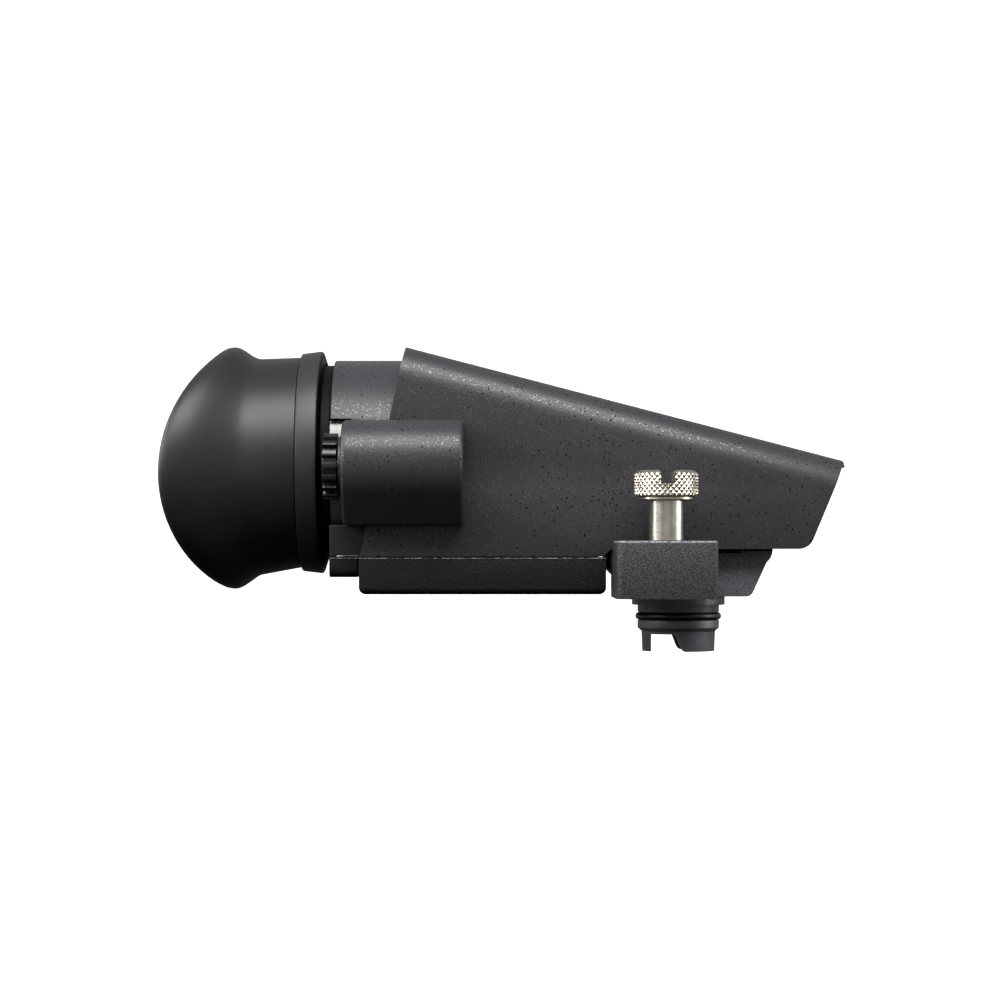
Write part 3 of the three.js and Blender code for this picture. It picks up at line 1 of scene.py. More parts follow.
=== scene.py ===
"""Looks of the electronic viewfinder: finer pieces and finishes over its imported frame.

Metres, in the part's own frame: +X away from the eye, +Z up from the camera seat, -Y the side
with the dioptre dial and the thumb screw.
"""

import json
import math

import bmesh
import bpy
from mathutils import Matrix, Vector

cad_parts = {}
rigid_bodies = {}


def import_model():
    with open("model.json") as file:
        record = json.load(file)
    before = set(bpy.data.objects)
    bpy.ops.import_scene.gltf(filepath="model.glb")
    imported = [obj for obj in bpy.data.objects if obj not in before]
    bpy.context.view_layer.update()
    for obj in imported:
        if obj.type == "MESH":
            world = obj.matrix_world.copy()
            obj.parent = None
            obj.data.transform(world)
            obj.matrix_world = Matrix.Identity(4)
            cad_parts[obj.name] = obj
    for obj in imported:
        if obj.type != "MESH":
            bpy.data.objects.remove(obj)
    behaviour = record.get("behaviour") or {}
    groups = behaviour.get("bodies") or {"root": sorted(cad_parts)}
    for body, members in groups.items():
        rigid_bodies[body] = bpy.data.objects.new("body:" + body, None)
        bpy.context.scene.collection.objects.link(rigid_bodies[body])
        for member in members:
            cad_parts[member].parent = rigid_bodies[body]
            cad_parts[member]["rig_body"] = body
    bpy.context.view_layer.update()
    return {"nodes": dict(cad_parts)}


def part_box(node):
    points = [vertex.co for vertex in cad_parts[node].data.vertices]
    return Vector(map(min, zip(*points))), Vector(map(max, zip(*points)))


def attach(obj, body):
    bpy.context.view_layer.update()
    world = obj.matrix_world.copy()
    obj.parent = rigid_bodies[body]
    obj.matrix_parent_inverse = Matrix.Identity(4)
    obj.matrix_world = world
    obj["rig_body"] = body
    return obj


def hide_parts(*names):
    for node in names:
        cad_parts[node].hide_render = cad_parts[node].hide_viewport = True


MM = 0.001
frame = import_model()
nodes = frame["nodes"]
scene = bpy.context.scene

# ---------------------------------------------------------------- materials


def srgb(text):
    """A hex sRGB colour as linear RGBA."""
    parts = [int(text[i : i + 2], 16) / 255 for i in (1, 3, 5)]
    linear = [c / 12.92 if c <= 0.04045 else ((c + 0.055) / 1.055) ** 2.4 for c in parts]
    return (*linear, 1.0)


def add_node(tree, kind, inputs=None, **settings):
    """Adds a node with its settings, its input values and its links."""
    node = tree.nodes.new(kind)
    for name, value in settings.items():
        setattr(node, name, value)
    for name, value in (inputs or {}).items():
        if isinstance(value, bpy.types.NodeSocket):
            tree.links.new(value, node.inputs[name])
        else:
            node.inputs[name].default_value = value
    return node


def new_finish(name):
    """An empty material with its tree, its surface shader and its object coordinates."""
    material = bpy.data.materials.new(name)
    material.use_nodes = True
    tree = material.node_tree
    tree.nodes.clear()
    shader = add_node(tree, "ShaderNodeBsdfPrincipled")
    add_node(tree, "ShaderNodeOutputMaterial", {"Surface": shader.outputs["BSDF"]})
    place = add_node(tree, "ShaderNodeTexCoord").outputs["Object"]
    return material, tree, shader, place


def ramp(tree, factor, stops):
    """A colour ramp over (position, grey or hex colour) stops."""
    node = add_node(tree, "ShaderNodeValToRGB", {"Fac": factor})
    elements = node.color_ramp.elements
    while len(elements) < len(stops):
        elements.new(1.0)
    for element, (position, colour) in zip(elements, stops):
        element.position = position
        element.color = srgb(colour) if isinstance(colour, str) else (colour,) * 3 + (1.0,)
    return node.outputs["Color"]


def noise(tree, place, size, detail=2.0, roughness=0.5):
    """Cloudy noise with lumps of this size, in metres."""
    settings = {"Vector": place, "Scale": 1 / size, "Detail": detail, "Roughness": roughness}
    return add_node(tree, "ShaderNodeTexNoise", settings).outputs["Fac"]


def remap(tree, value, low, high, start=0.0, end=1.0):
    """A value between start and end as one between low and high."""
    limits = {"Value": value, "From Min": start, "From Max": end, "To Min": low, "To Max": high}
    return add_node(tree, "ShaderNodeMapRange", limits).outputs[0]


def maths(tree, operation, *values):
    """One step of arithmetic."""
    return add_node(tree, "ShaderNodeMath", dict(enumerate(values)), operation=operation).outputs[0]


def blend(tree, share, first, second):
    """A colour that goes from the first to the second as share rises."""
    colours = {"Factor": share, "A": first, "B": second}
    return add_node(tree, "ShaderNodeMix", colours, data_type="RGBA").outputs["Result"]


def bumps(tree, height, strength, depth):
    """The normal of a surface with this relief, its depth in metres."""
    relief = {"Strength": strength, "Distance": depth, "Height": height}
    return add_node(tree, "ShaderNodeBump", relief).outputs[0]


def finish_with(material, tree, shader, colour, roughness, normal):
    """Links what varies over the surface and gives back the material."""
    tree.links.new(colour, shader.inputs["Base Color"])
    tree.links.new(roughness, shader.inputs["Roughness"])
    tree.links.new(normal, shader.inputs["Normal"])
    return material


def satin_paint_on_abs(name, pits):
    """Moulded ABS under a sprayed satin charcoal paint. The eye sees a soft sheen with a fine
    orange peel, mineral flecks that sparkle where the light glances, and dark pinholes, the
    more of them the lower pits is."""
    material, tree, shader, place = new_finish(name)
    cloud = noise(tree, place, 14 * MM)
    # flecks 0.2 mm across, in about one cell of ten
    flecks = add_node(tree, "ShaderNodeTexVoronoi", {"Vector": place, "Scale": 1 / (0.21 * MM)})
    lot = add_node(tree, "ShaderNodeSeparateColor", {"Color": flecks.outputs["Color"]})
    fleck = ramp(tree, lot.outputs["Red"], [(0.0, 0.0), (0.87, 0.0), (0.93, 1.0), (1.0, 1.0)])
    # pinholes 0.3 mm across, in drifts; no flat face runs along their cells, which are turned
    askew = add_node(tree, "ShaderNodeMapping", {"Vector": place, "Rotation": (0.6, 0.4, 0.8)})
    cells = {"Vector": askew.outputs[0], "Scale": 1 / (0.85 * MM)}
    holes = add_node(tree, "ShaderNodeTexVoronoi", cells)
    lot = add_node(tree, "ShaderNodeSeparateColor", {"Color": holes.outputs["Color"]})
    dot = maths(tree, "LESS_THAN", holes.outputs["Distance"], 0.2)
    rare = maths(tree, "MULTIPLY", lot.outputs["Green"], cloud)
    hole = maths(tree, "MULTIPLY", dot, maths(tree, "GREATER_THAN", rare, pits))
    tone = ramp(tree, cloud, [(0.3, "#2c2b2f"), (0.7, "#313034")])
    flecked = blend(tree, fleck, tone, srgb("#3b3a3e"))
    pitted = blend(tree, hole, flecked, srgb("#0b0b0d"))
    glint = remap(tree, fleck, 0.5, 0.95)
    shine = maths(tree, "MULTIPLY", glint, maths(tree, "SUBTRACT", 1.0, hole))
    tree.links.new(shine, shader.inputs["Specular IOR Level"])
    peel = noise(tree, place, 0.55 * MM, 3.0, 0.6)
    relief = bumps(tree, maths(tree, "ADD", peel, fleck), 0.32, 0.05 * MM)
    return finish_with(material, tree, shader, pitted, remap(tree, fleck, 0.43, 0.2), relief)


def pebble_grain(name, low, high, grain, depth, worn, sheen=0.5):
    """A moulded or sprayed pebble grain: rounded grains with dark valleys between them, and
    crests rubbed a little smoother than the valleys."""
    material, tree, shader, place = new_finish(name)
    lumps = {"Vector": place, "Scale": 1 / (grain * 2.2), "Detail": 2.0}
    warp = add_node(tree, "ShaderNodeTexNoise", lumps).outputs["Color"]
    scaled = {0: warp, "Scale": grain * 1.6}
    push = add_node(tree, "ShaderNodeVectorMath", scaled, operation="SCALE").outputs[0]
    moved = add_node(tree, "ShaderNodeVectorMath", {0: place, 1: push}, operation="ADD")
    cells = {"Vector": moved.outputs[0], "Scale": 1 / grain, "Smoothness": 0.7}
    pebbles = add_node(tree, "ShaderNodeTexVoronoi", cells, feature="SMOOTH_F1")
    crest = ramp(tree, pebbles.outputs["Distance"], [(0.05, 1.0), (0.62, 0.0)])
    tone = ramp(tree, crest, [(0.0, low), (1.0, high)])
    gloss = remap(tree, crest, 0.62, worn)
    relief = bumps(tree, blend(tree, 0.25, crest, noise(tree, place, grain / 3)), 0.75, depth)
    shader.inputs["Specular IOR Level"].default_value = sheen
    return finish_with(material, tree, shader, tone, gloss, relief)


def soft_rubber(name, low, high, grain, depth, roughness, sheen=0.5):
    """Rubber, foam or a spark-textured moulding: matt, with the very fine grain of the mould,
    and faint clouding where fingers have been."""
    material, tree, shader, place = new_finish(name)
    cloud = noise(tree, place, 9 * MM, 3.0)
    tone = ramp(tree, cloud, [(0.3, low), (0.7, high)])
    gloss = remap(tree, cloud, roughness - 0.05, roughness + 0.05)
    relief = bumps(tree, noise(tree, place, grain, 2.0, 0.7), 0.5, depth)
    shader.inputs["Specular IOR Level"].default_value = sheen
    return finish_with(material, tree, shader, tone, gloss, relief)


def smooth_moulding(name, low, high, roughness):
    """Polished-mould ABS or acetal: near mirror-smooth, with slight flow marks and hairline
    scuffs that only the reflections show."""
    material, tree, shader, place = new_finish(name)
    stretched = add_node(tree, "ShaderNodeMapping", {"Vector": place, "Scale": (0.15, 1.0, 1.0)})
    scuff = noise(tree, stretched.outputs[0], 0.5 * MM)
    tone = ramp(tree, noise(tree, place, 5 * MM), [(0.3, low), (0.7, high)])
    gloss = remap(tree, scuff, roughness - 0.06, roughness + 0.08)
    return finish_with(material, tree, shader, tone, gloss, bumps(tree, scuff, 0.15, 0.02 * MM))


def turned_metal(name, low, high, roughness, stretch, centre=(0, 0, 0)):
    """Turned metal under its plating: fine rings from the tool run round the axis, so the
    pattern is squeezed along the axis and drawn out across it, with slight tarnish."""
    material, tree, shader, place = new_finish(name)
    about = {"Vector": place, "Location": [-c for c in centre], "Scale": stretch}
    rings = noise(tree, add_node(tree, "ShaderNodeMapping", about).outputs[0], 0.25 * MM)
    tone = ramp(tree, noise(tree, place, 2.5 * MM, 3.0), [(0.3, low), (0.7, high)])
    gloss = remap(tree, rings, roughness - 0.08, roughness + 0.08)
    shader.inputs["Metallic"].default_value = 1.0
    return finish_with(material, tree, shader, tone, gloss, bumps(tree, rings, 0.2, 0.01 * MM))


def coated_lens():
    """Polished optical glass with an anti-reflection coat: clear, with a faint violet-green
    reflection at a slant and the odd speck of dust."""
    material, tree, shader, place = new_finish("coated_optical_glass")
    slant = add_node(tree, "ShaderNodeLayerWeight", {"Blend": 0.35})
    tint = ramp(tree, slant.outputs["Facing"], [(0.0, "#e9ecff"), (1.0, "#cfe6d6")])
    dust = noise(tree, place, 1.2 * MM, 4.0)
    gloss = remap(tree, dust, 0.01, 0.04, 0.55, 0.8)
    shader.inputs["Transmission Weight"].default_value = 1.0
    shader.inputs["IOR"].default_value = 1.52
    return finish_with(material, tree, shader, tint, gloss, bumps(tree, dust, 0.02, 0.01 * MM))


def circuit_board():
    """Green solder mask over glass fibre: glossy lacquer, with darker copper runs under it."""
    material, tree, shader, place = new_finish("solder_mask_on_fr4")
    pattern = {"Vector": place, "Scale": 1 / (6 * MM), "Mortar Size": 0.03}
    pattern |= {"Color1": srgb("#123f26"), "Color2": srgb("#17492d"), "Mortar": srgb("#2c6b40")}
    runs = add_node(tree, "ShaderNodeTexBrick", pattern).outputs["Color"]
    weave = noise(tree, place, 0.4 * MM)
    relief = bumps(tree, weave, 0.2, 0.03 * MM)
    return finish_with(material, tree, shader, runs, remap(tree, weave, 0.25, 0.45), relief)


def surface_of(material):
    """A finish's tree, its surface shader, its object coordinates and their three parts."""
    tree = material.node_tree
    shader = next(n for n in tree.nodes if n.type == "BSDF_PRINCIPLED")
    place = add_node(tree, "ShaderNodeTexCoord").outputs["Object"]
    return tree, shader, place, add_node(tree, "ShaderNodeSeparateXYZ", {"Vector": place}).outputs


def recolour(tree, shader, share, colour):
    """Turns a finish to this colour as share goes from 0 to 1."""
    before = shader.inputs["Base Color"].links[0].from_socket
    tree.links.new(blend(tree, share, before, srgb(colour)), shader.inputs["Base Color"])


def painted_shade_beyond(material, axis, start, end, dark):
    """Paints shade on a finish: dark and matt from start to end along an axis, in millimetres."""
    tree, shader, _, along = surface_of(material)
    share = remap(tree, along[axis], 0.0, 1.0, start * MM, end * MM)
    recolour(tree, shader, share, dark)
    gleam = shader.inputs["Specular IOR Level"]
    before = gleam.links[0].from_socket if gleam.links else gleam.default_value
    tree.links.new(maths(tree, "MULTIPLY", before, remap(tree, share, 1.0, 0.16)), gleam)
    if shader.inputs["Metallic"].default_value > 0:
        tree.links.new(remap(tree, share, 1.0, 0.0), shader.inputs["Metallic"])


def painted_highlight_along(material, height, width, highlight_colour):
    """Paints highlights on a finish: a paler tone in dashes, within width of this height, in
    millimetres.
    """
    tree, shader, place, along = surface_of(material)
    near = maths(tree, "COMPARE", along["Z"], height * MM, width * MM)
    dashes = ramp(tree, noise(tree, place, 0.9 * MM), [(0.4, 0.1), (0.62, 1.0)])
    recolour(tree, shader, maths(tree, "MULTIPLY", near, dashes), highlight_colour)


SCREW_CENTRE = (-4 * MM, -33.5 * MM, 0)
ALONG_X = (1.0, 0.1, 0.1)
painted_abs = satin_paint_on_abs("satin_charcoal_paint_on_abs", 0.33)
eyepiece_abs = satin_paint_on_abs("fine_satin_charcoal_paint_on_abs", 0.46)
grained_casting = pebble_grain(
    "pebble_sprayed_aluminium_casting", "#1b1b1e", "#4f4e54", 0.28 * MM, 0.1 * MM, 0.32
)
# Painted light: the foot's casting is paler than the block's, to make up for the shade that the
# housing and the block cast on it
foot_casting_painted_lighter = pebble_grain(
    "fine_casting_painted_lighter", "#525257", "#75757c", 0.3 * MM, 0.06 * MM, 0.42
)
grained_cover = pebble_grain(
    "pebble_grained_abs_moulding", "#0b0b0d", "#17171a", 0.36 * MM, 0.11 * MM, 0.45, 0.2
)
cup_rubber = soft_rubber("matt_silicone_rubber", "#1b1b1d", "#212123", 0.28 * MM, 0.05 * MM, 0.43)
# Painted shadow: the foam is near black and almost without sheen, so that the strip in the slit
# under the housing shows as shadow
foam = soft_rubber("black_foam_painted_shadow", "#030304", "#030304", 0.4 * MM, 0.1 * MM, 0.8, 0.08)
seal_rubber = soft_rubber("oiled_nitrile_rubber", "#0d0d0e", "#141416", 0.25 * MM, 0.01 * MM, 0.34)
cover_abs = soft_rubber("fine_textured_abs", "#232326", "#29282b", 0.35 * MM, 0.05 * MM, 0.5)
ring_abs = soft_rubber("spark_textured_abs", "#232326", "#29282b", 0.35 * MM, 0.05 * MM, 0.44)
plug_abs = soft_rubber("glass_filled_nylon", "#4c4b51", "#68676d", 0.34 * MM, 0.12 * MM, 0.31)
dial_acetal = smooth_moulding("moulded_acetal", "#1a1a1c", "#242427", 0.22)
barrel_abs = smooth_moulding("gloss_black_abs", "#1a1a1c", "#222225", 0.28)
barrel_metal = turned_metal("bead_blasted_aluminium", "#8c8c8b", "#9c9c9b", 0.5, (1.0, 0.3, 0.3))
nickel = turned_metal(
    "nickel_plate_on_turned_brass", "#cbc5b5", "#e3dfd2", 0.3, (0.05, 0.05, 1.0), SCREW_CENTRE
)
steel = turned_metal("turned_stainless_steel", "#a4a5a6", "#c4c5c6", 0.3, ALONG_X)
brass = turned_metal("turned_brass", "#b58a3e", "#d2aa5c", 0.3, ALONG_X)
gold = turned_metal("gold_plate_on_brass", "#d7aa4a", "#edc66a", 0.22, (0.1, 0.1, 1.0))
lens_glass = coated_lens()
display_glass = smooth_moulding("dark_display_glass", "#06070a", "#0a0c12", 0.12)
flex_film = smooth_moulding("amber_polyimide_film", "#8a4513", "#a9581c", 0.35)
board_lacquer = circuit_board()

# Painted shade: the lower end of the eyepiece frame is darkened and made matt, as it is darker in
# the photograph
painted_shade_beyond(eyepiece_abs, "Z", 14.2, 14.0, "#323136")
# Painted shadow: black on the foot's hinge ears stands in for the shadowed slit that the photograph
# shows there
painted_shade_beyond(foot_casting_painted_lighter, "Z", 9.1, 9.2, "#050506")
# Painted shade: the ring's smooth front face and the tube's neck are turned black and matt for the
# shade in the gap between the ring and the frame
painted_shade_beyond(ring_abs, "X", -73.1, -72.9, "#020203")
painted_shade_beyond(barrel_metal, "X", -70.3, -70.5, "#101012")
# Painted highlights: pale dashes stand in for the light on the top edges of the block, the chin and
# the cover
painted_highlight_along(grained_casting, 10.95, 0.15, "#8e8e92")
painted_highlight_along(grained_cover, 7.72, 0.07, "#8a8a8e")

# ---------------------------------------------------------------- meshes

MERGE_DISTANCE = 0.002 * MM
# Faces nearer to flat than the first angle merge, edges sharper than the second are rounded
FLAT, SHARP = math.radians(0.6), math.radians(30)


def new_piece(name, vertices, faces):
    """A mesh object from points in metres."""
    mesh = bpy.data.meshes.new(name)
    mesh.from_pydata([tuple(v) for v in vertices], [], faces)
    mesh.update()
    piece = bpy.data.objects.new(name, mesh)
    scene.collection.objects.link(piece)
    return piece


def piece_from(shape, name):
    """A bmesh as an object; the bmesh goes."""
    mesh = bpy.data.meshes.new(name)
    shape.to_mesh(mesh)
    shape.free()
    piece = bpy.data.objects.new(name, mesh)
    scene.collection.objects.link(piece)
    return piece


def bake_modifiers(piece):
    """Turns what a piece's modifiers make into its mesh."""
    depsgraph = bpy.context.evaluated_depsgraph_get()
    made = bpy.data.meshes.new_from_object(piece.evaluated_get(depsgraph))
    piece.modifiers.clear()
    piece.data = made


def facing_out(piece):
    """Merges doubles and turns every face outwards."""
    shape = bmesh.new()
    shape.from_mesh(piece.data)
    bmesh.ops.remove_doubles(shape, verts=shape.verts, dist=MERGE_DISTANCE)
    bmesh.ops.recalc_face_normals(shape, faces=shape.faces)
    shape.to_mesh(piece.data)
    shape.free()
    return piece


def smoothed(piece, degrees=32):
    """Smooth shading, with edges sharper than this kept."""
    piece.data.shade_smooth()
    piece.data.set_sharp_from_angle(angle=math.radians(degrees))
    return piece


def place_round(axis, centre, along, radius, angle):
    """A point at this height and radius round an axis through centre."""
    a, b = radius * math.cos(angle), radius * math.sin(angle)
    offset = {"x": (along, a, b), "z": (a, b, along)}[axis]
    return [c + o for c, o in zip(centre, offset)]


def turned(name, profile, axis, centre, steps):
    """A closed profile of (along, radius) in millimetres, turned round an axis."""
    points, faces = [], []
    count = len(profile)
    for j in range(steps):
        angle = 2 * math.pi * j / steps
        for along, radius in profile:
            points.append(place_round(axis, centre, along * MM, radius * MM, angle))
    for j in range(steps):
        for i in range(count):
            a, b = j * count + i, j * count + (i + 1) % count
            c, d = ((j + 1) % steps) * count + i, ((j + 1) % steps) * count + (i + 1) % count
            faces.append((a, b, d, c))
    return facing_out(new_piece(name, points, faces))


def rounded(profile, radius, steps=3):
    """A closed profile with its corners rounded by radius, in millimetres."""
    out = []
    count = len(profile)
    for i, corner in enumerate(profile):
        before, after = profile[i - 1], profile[(i + 1) % count]
        p = Vector(corner[:2])
        back, ahead = Vector(before[:2]) - p, Vector(after[:2]) - p
        r = min(corner[2] if len(corner) > 2 else radius, back.length * 0.45, ahead.length * 0.45)
        if r <= 0:
            out.append(tuple(p))
            continue
        start, end = p + back.normalized() * r, p + ahead.normalized() * r
        for k in range(steps + 1):
            t = k / steps
            out.append(tuple(start * (1 - t) ** 2 + p * 2 * t * (1 - t) + end * t**2))
    return out


def softened(name, node, edge):
    """A copy of a CAD node with its triangles merged into faces and its sharp edges rounded,
    by edge in millimetres."""
    shape = bmesh.new()
    shape.from_mesh(nodes[node].data)
    bmesh.ops.remove_doubles(shape, verts=shape.verts, dist=MERGE_DISTANCE)
    bmesh.ops.dissolve_limit(shape, angle_limit=FLAT, verts=shape.verts, edges=shape.edges)
    sharp = [e for e in shape.edges if e.is_manifold and e.calc_face_angle(0) > SHARP]
    bmesh.ops.bevel(
        shape,
        geom=sharp,
        offset=edge * MM,
        segments=3,
        profile=0.5,
        affect="EDGES",
        clamp_overlap=True,
    )
    return smoothed(piece_from(shape, name))


def dress(piece, stands_for, finish):
    """Gives a piece its finish, rides it on its nodes' body and lets it stand for them."""
    names = [stands_for] if isinstance(stands_for, str) else stands_for
    piece.data.materials.clear()
    piece.data.materials.append(finish)
    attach(piece, nodes[names[0]]["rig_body"])
    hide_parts(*names)


# ---------------------------------------------------------------- eyecup

CUP_AXIS = (0, 0, 27.5 * MM)


def eyecup_shape():
    """The rubber cup: at each angle the wall runs from the neck over the waist to the flared
    rim, which reaches far back on the temple side, and returns along the inside."""
    around, neck_steps, flare_steps, rim_steps = 160, 6, 20, 10
    neck_x, neck_radius = -77.45, 21.8
    waist_x, waist_radius = -85.45, 22.4
    lip_x, lip_radius, lip_reach = -91.2, 25.1, 2.04
    wing_length, wing_flare, nose_cut, droop, power = 10.4, 3.6, 2.2, math.radians(4), 2.2
    drop, drop_length, wall, rim_wall, least_flare = 1.15, 10.4, 1.6, 1.9, 4.0
    thicker = rim_wall - wall
    points, faces = [], []
    for j in range(around):
        angle = 2 * math.pi * j / around
        wing = max(0.0, -math.cos(angle - droop)) ** power
        nose = max(0.0, math.cos(angle)) ** 2
        rim_x = lip_x - wing_length * wing + nose_cut * nose
        rim_radius = lip_radius + wing_flare * wing
        waist = max(waist_x, rim_x + least_flare)
        outer = []
        for i in range(neck_steps + flare_steps + 1):
            neck_share = min(1.0, i / neck_steps)
            flare_share = max(0.0, (i - neck_steps) / flare_steps)
            x = neck_x + (waist - neck_x) * neck_share
            x += (rim_x - x) * flare_share
            radius = neck_radius + (waist_radius - neck_radius) * neck_share
            radius += (rim_radius - radius) * flare_share**2 * (3 - 2 * flare_share)
            outer.append((x, radius, drop * min(1.0, (neck_x - x) / drop_length)))
        last = len(outer) - 1
        inner = [(x, r - wall - thicker * i / last, d) for i, (x, r, d) in enumerate(outer)]
        (x, r_out, d), (_, r_in, _) = outer.pop(), inner.pop()
        middle, half = (r_out + r_in) / 2, (r_out - r_in) / 2
        turns = [math.pi * k / rim_steps for k in range(rim_steps + 1)]
        rim = [(x - lip_reach * math.sin(t), middle + half * math.cos(t), d) for t in turns]
        profile = outer + rim + inner[::-1]
        for x, r, d in profile:
            points.append(place_round("x", (0, 0, CUP_AXIS[2] - d * MM), x * MM, r * MM, angle))
    row = len(profile)
    for j in range(around):
        for i in range(row):
            a, b = j * row + i, j * row + (i + 1) % row
            c, e = ((j + 1) % around) * row + i, ((j + 1) % around) * row + (i + 1) % row
            faces.append((a, c, e, b))
    return smoothed(facing_out(new_piece("rubber_eyecup", points, faces)), 50)


dress(eyecup_shape(), "eyecup", cup_rubber)

# Place along the axis, radius and, for some corners, their own rounding
ring_profile = [
    (-80.85, 18.8), (-80.85, 19.9), (-77.25, 19.9, 0.0), (-77.25, 22.6, 0.35), (-73.0, 23.1, 0.45),
    (-72.3, 20.9, 0.3), (-72.3, 20.5), (-74.5, 20.5), (-74.5, 19.8), (-75.4, 19.8), (-75.4, 20.5),
    (-76.7, 20.5), (-76.7, 18.8),
]
snap_ring = turned("eyecup_snap_ring", rounded(ring_profile, 0.12), "x", CUP_AXIS, 160)
dress(smoothed(snap_ring), "eyecup_ring", ring_abs)

# ---------------------------------------------------------------- knurled thumb screw


def knurled_screw():
    """The thumb screw: a head cut by two crossing families of 45 degree grooves, with a
    plain chamfer above and a collar below, a coin slot, a shank and a plain end."""
    teeth, tooth_height, depth = 34, 1.15, 0.3
    around = teeth * 10
    bottom, top, chamfer = 19.75, 24.8, 0.7
    head_radius = 6.3
    # height and radius of the end, the neck for the retaining ring, the shank and the collar
    rows = [(0.1, 0.0), (0.1, 2.0), (0.5, 2.4), (8.65, 2.4), (8.65, 1.9), (9.45, 1.9), (9.45, 3.35)]
    rows += [(18.9, 3.35), (18.97, 3.45), (18.97, 5.0), (19.07, 5.3), (19.2, 5.4), (19.55, 5.4)]
    rows += [(19.68, 5.3), (bottom, 5.2), (bottom, 5.5)]
    knurl_rows = 46
    points, faces = [], []

    def envelope(z):
        """The radius of the head at a height, between its lower and its upper chamfer."""
        widens, narrows = (z - bottom) * 1.6, (z - (top - chamfer)) * 1.25
        return min(head_radius, 5.75 + widens, head_radius - narrows)

    for i in range(knurl_rows + 1):
        rows.append((bottom + (top - bottom) * i / knurl_rows, None))
    rows += [(top, 5.2), (top, 0.0)]
    for z, radius in rows:
        for j in range(around):
            angle = 2 * math.pi * j / around
            r = radius
            if radius is None:
                u, v = teeth * j / around, (z - bottom) / tooth_height
                crest = min(abs(2 * ((u + v) % 1) - 1), abs(2 * ((u - v) % 1) - 1), 0.8) / 0.8
                r = min(envelope(z), head_radius - depth * (1 - crest))
            points.append(place_round("z", SCREW_CENTRE, z * MM, r * MM, angle))
    for i in range(len(rows) - 1):
        low, high = i * around, (i + 1) * around
        for j in range(around):
            k = (j + 1) % around
            faces.append((low + j, low + k, high + k, high + j))
    head = facing_out(new_piece("knurled_thumb_screw", points, faces))
    half, lip, floor = 1.4, 0.45, top - 2.7
    section = [
        (-half, floor), (half, floor), (half, top - lip), (half + lip + 0.5, top + 0.5),
        (-half - lip - 0.5, top + 0.5), (-half, top - lip),
    ]
    count = len(section)
    ends = [SCREW_CENTRE[1] + side * 8 * MM for side in (-1, 1)]  # 8 mm is past the head
    sides = [(SCREW_CENTRE[0] + x * MM, y, z * MM) for y in ends for x, z in section]
    walls = [(i, (i + 1) % count, count + (i + 1) % count, count + i) for i in range(count)]
    walls += [tuple(range(count)), tuple(range(count, 2 * count))]
    slot = facing_out(new_piece("coin_slot_cutter", sides, walls))
    cut = head.modifiers.new("coin_slot", "BOOLEAN")
    cut.object, cut.operation, cut.solver = slot, "DIFFERENCE", "EXACT"
    bake_modifiers(head)
    bpy.data.objects.remove(slot)
    return smoothed(head, 24)


dress(knurled_screw(), "thumb_screw", nickel)

# ---------------------------------------------------------------- repeated pieces


def repeat_tree():
    """Geometry Nodes: sets one piece on every point of a mesh, turned by the point's own
    angles, and gives the lot one finish."""
    tree = bpy.data.node_groups.new("repeat_piece", "GeometryNodeTree")
    for label, direction, kind in (
        ("Places", "INPUT", "NodeSocketGeometry"), ("Piece", "INPUT", "NodeSocketObject"),
        ("Size", "INPUT", "NodeSocketFloat"), ("Finish", "INPUT", "NodeSocketMaterial"),
        ("Pieces", "OUTPUT", "NodeSocketGeometry"),
    ):
        tree.interface.new_socket(label, in_out=direction, socket_type=kind)
    given = add_node(tree, "NodeGroupInput").outputs
    model = add_node(tree, "GeometryNodeObjectInfo", {"Object": given["Piece"]})
    turn = add_node(
        tree, "GeometryNodeInputNamedAttribute", {"Name": "turn"}, data_type="FLOAT_VECTOR"
    ).outputs["Attribute"]
    turned_by = add_node(tree, "FunctionNodeEulerToRotation", {"Euler": turn}).outputs[0]
    inputs = {"Points": given["Places"], "Instance": model.outputs["Geometry"]}
    inputs |= {"Rotation": turned_by, "Scale": given["Size"]}
    copies = add_node(tree, "GeometryNodeInstanceOnPoints", inputs).outputs[0]
    real = add_node(tree, "GeometryNodeRealizeInstances", {"Geometry": copies}).outputs[0]
    finished = {"Geometry": real, "Material": given["Finish"]}
    done = add_node(tree, "GeometryNodeSetMaterial", finished).outputs[0]
    add_node(tree, "NodeGroupOutput", {"Pieces": done})
    return tree


repeat_piece = repeat_tree()


def repeated(name, model, places, finish):
    """One plain mesh of the model set at every (point, turn) place, in metres and radians."""
    holder = new_piece(name, [p for p, _ in places], [])
    turns = holder.data.attributes.new("turn", "FLOAT_VECTOR", "POINT")
    for item, (_, turn) in zip(turns.data, places):
        item.vector = turn
    modifier = holder.modifiers.new("repeat", "NODES")
    modifier.node_group = repeat_piece
    items = repeat_piece.interface.items_tree
    sockets = {item.name: item.identifier for item in items if item.in_out == "INPUT"}
    modifier[sockets["Piece"]] = model
    modifier[sockets["Size"]] = 1.0
    modifier[sockets["Finish"]] = finish
    bake_modifiers(holder)
    return smoothed(holder)


def bevelled_block(name, size, edge, lift=(0, 0, 0)):
    """A block of this size, lifted off the origin, with rounded edges, in metres."""
    shape = bmesh.new()
    stretch = Matrix.Translation(lift) @ Matrix.Diagonal((*size, 1))
    bmesh.ops.create_cube(shape, size=1.0, matrix=stretch)
    edges = shape.edges[:]
    bmesh.ops.bevel(shape, geom=edges, offset=edge, segments=2, profile=0.5, affect="EDGES")
    return piece_from(shape, name)


def joined(name, pieces):
    """Several objects' meshes as one object; the objects go."""
    shape = bmesh.new()
    for piece in pieces:
        shape.from_mesh(piece.data)
        bpy.data.objects.remove(piece)
    return smoothed(piece_from(shape, name))


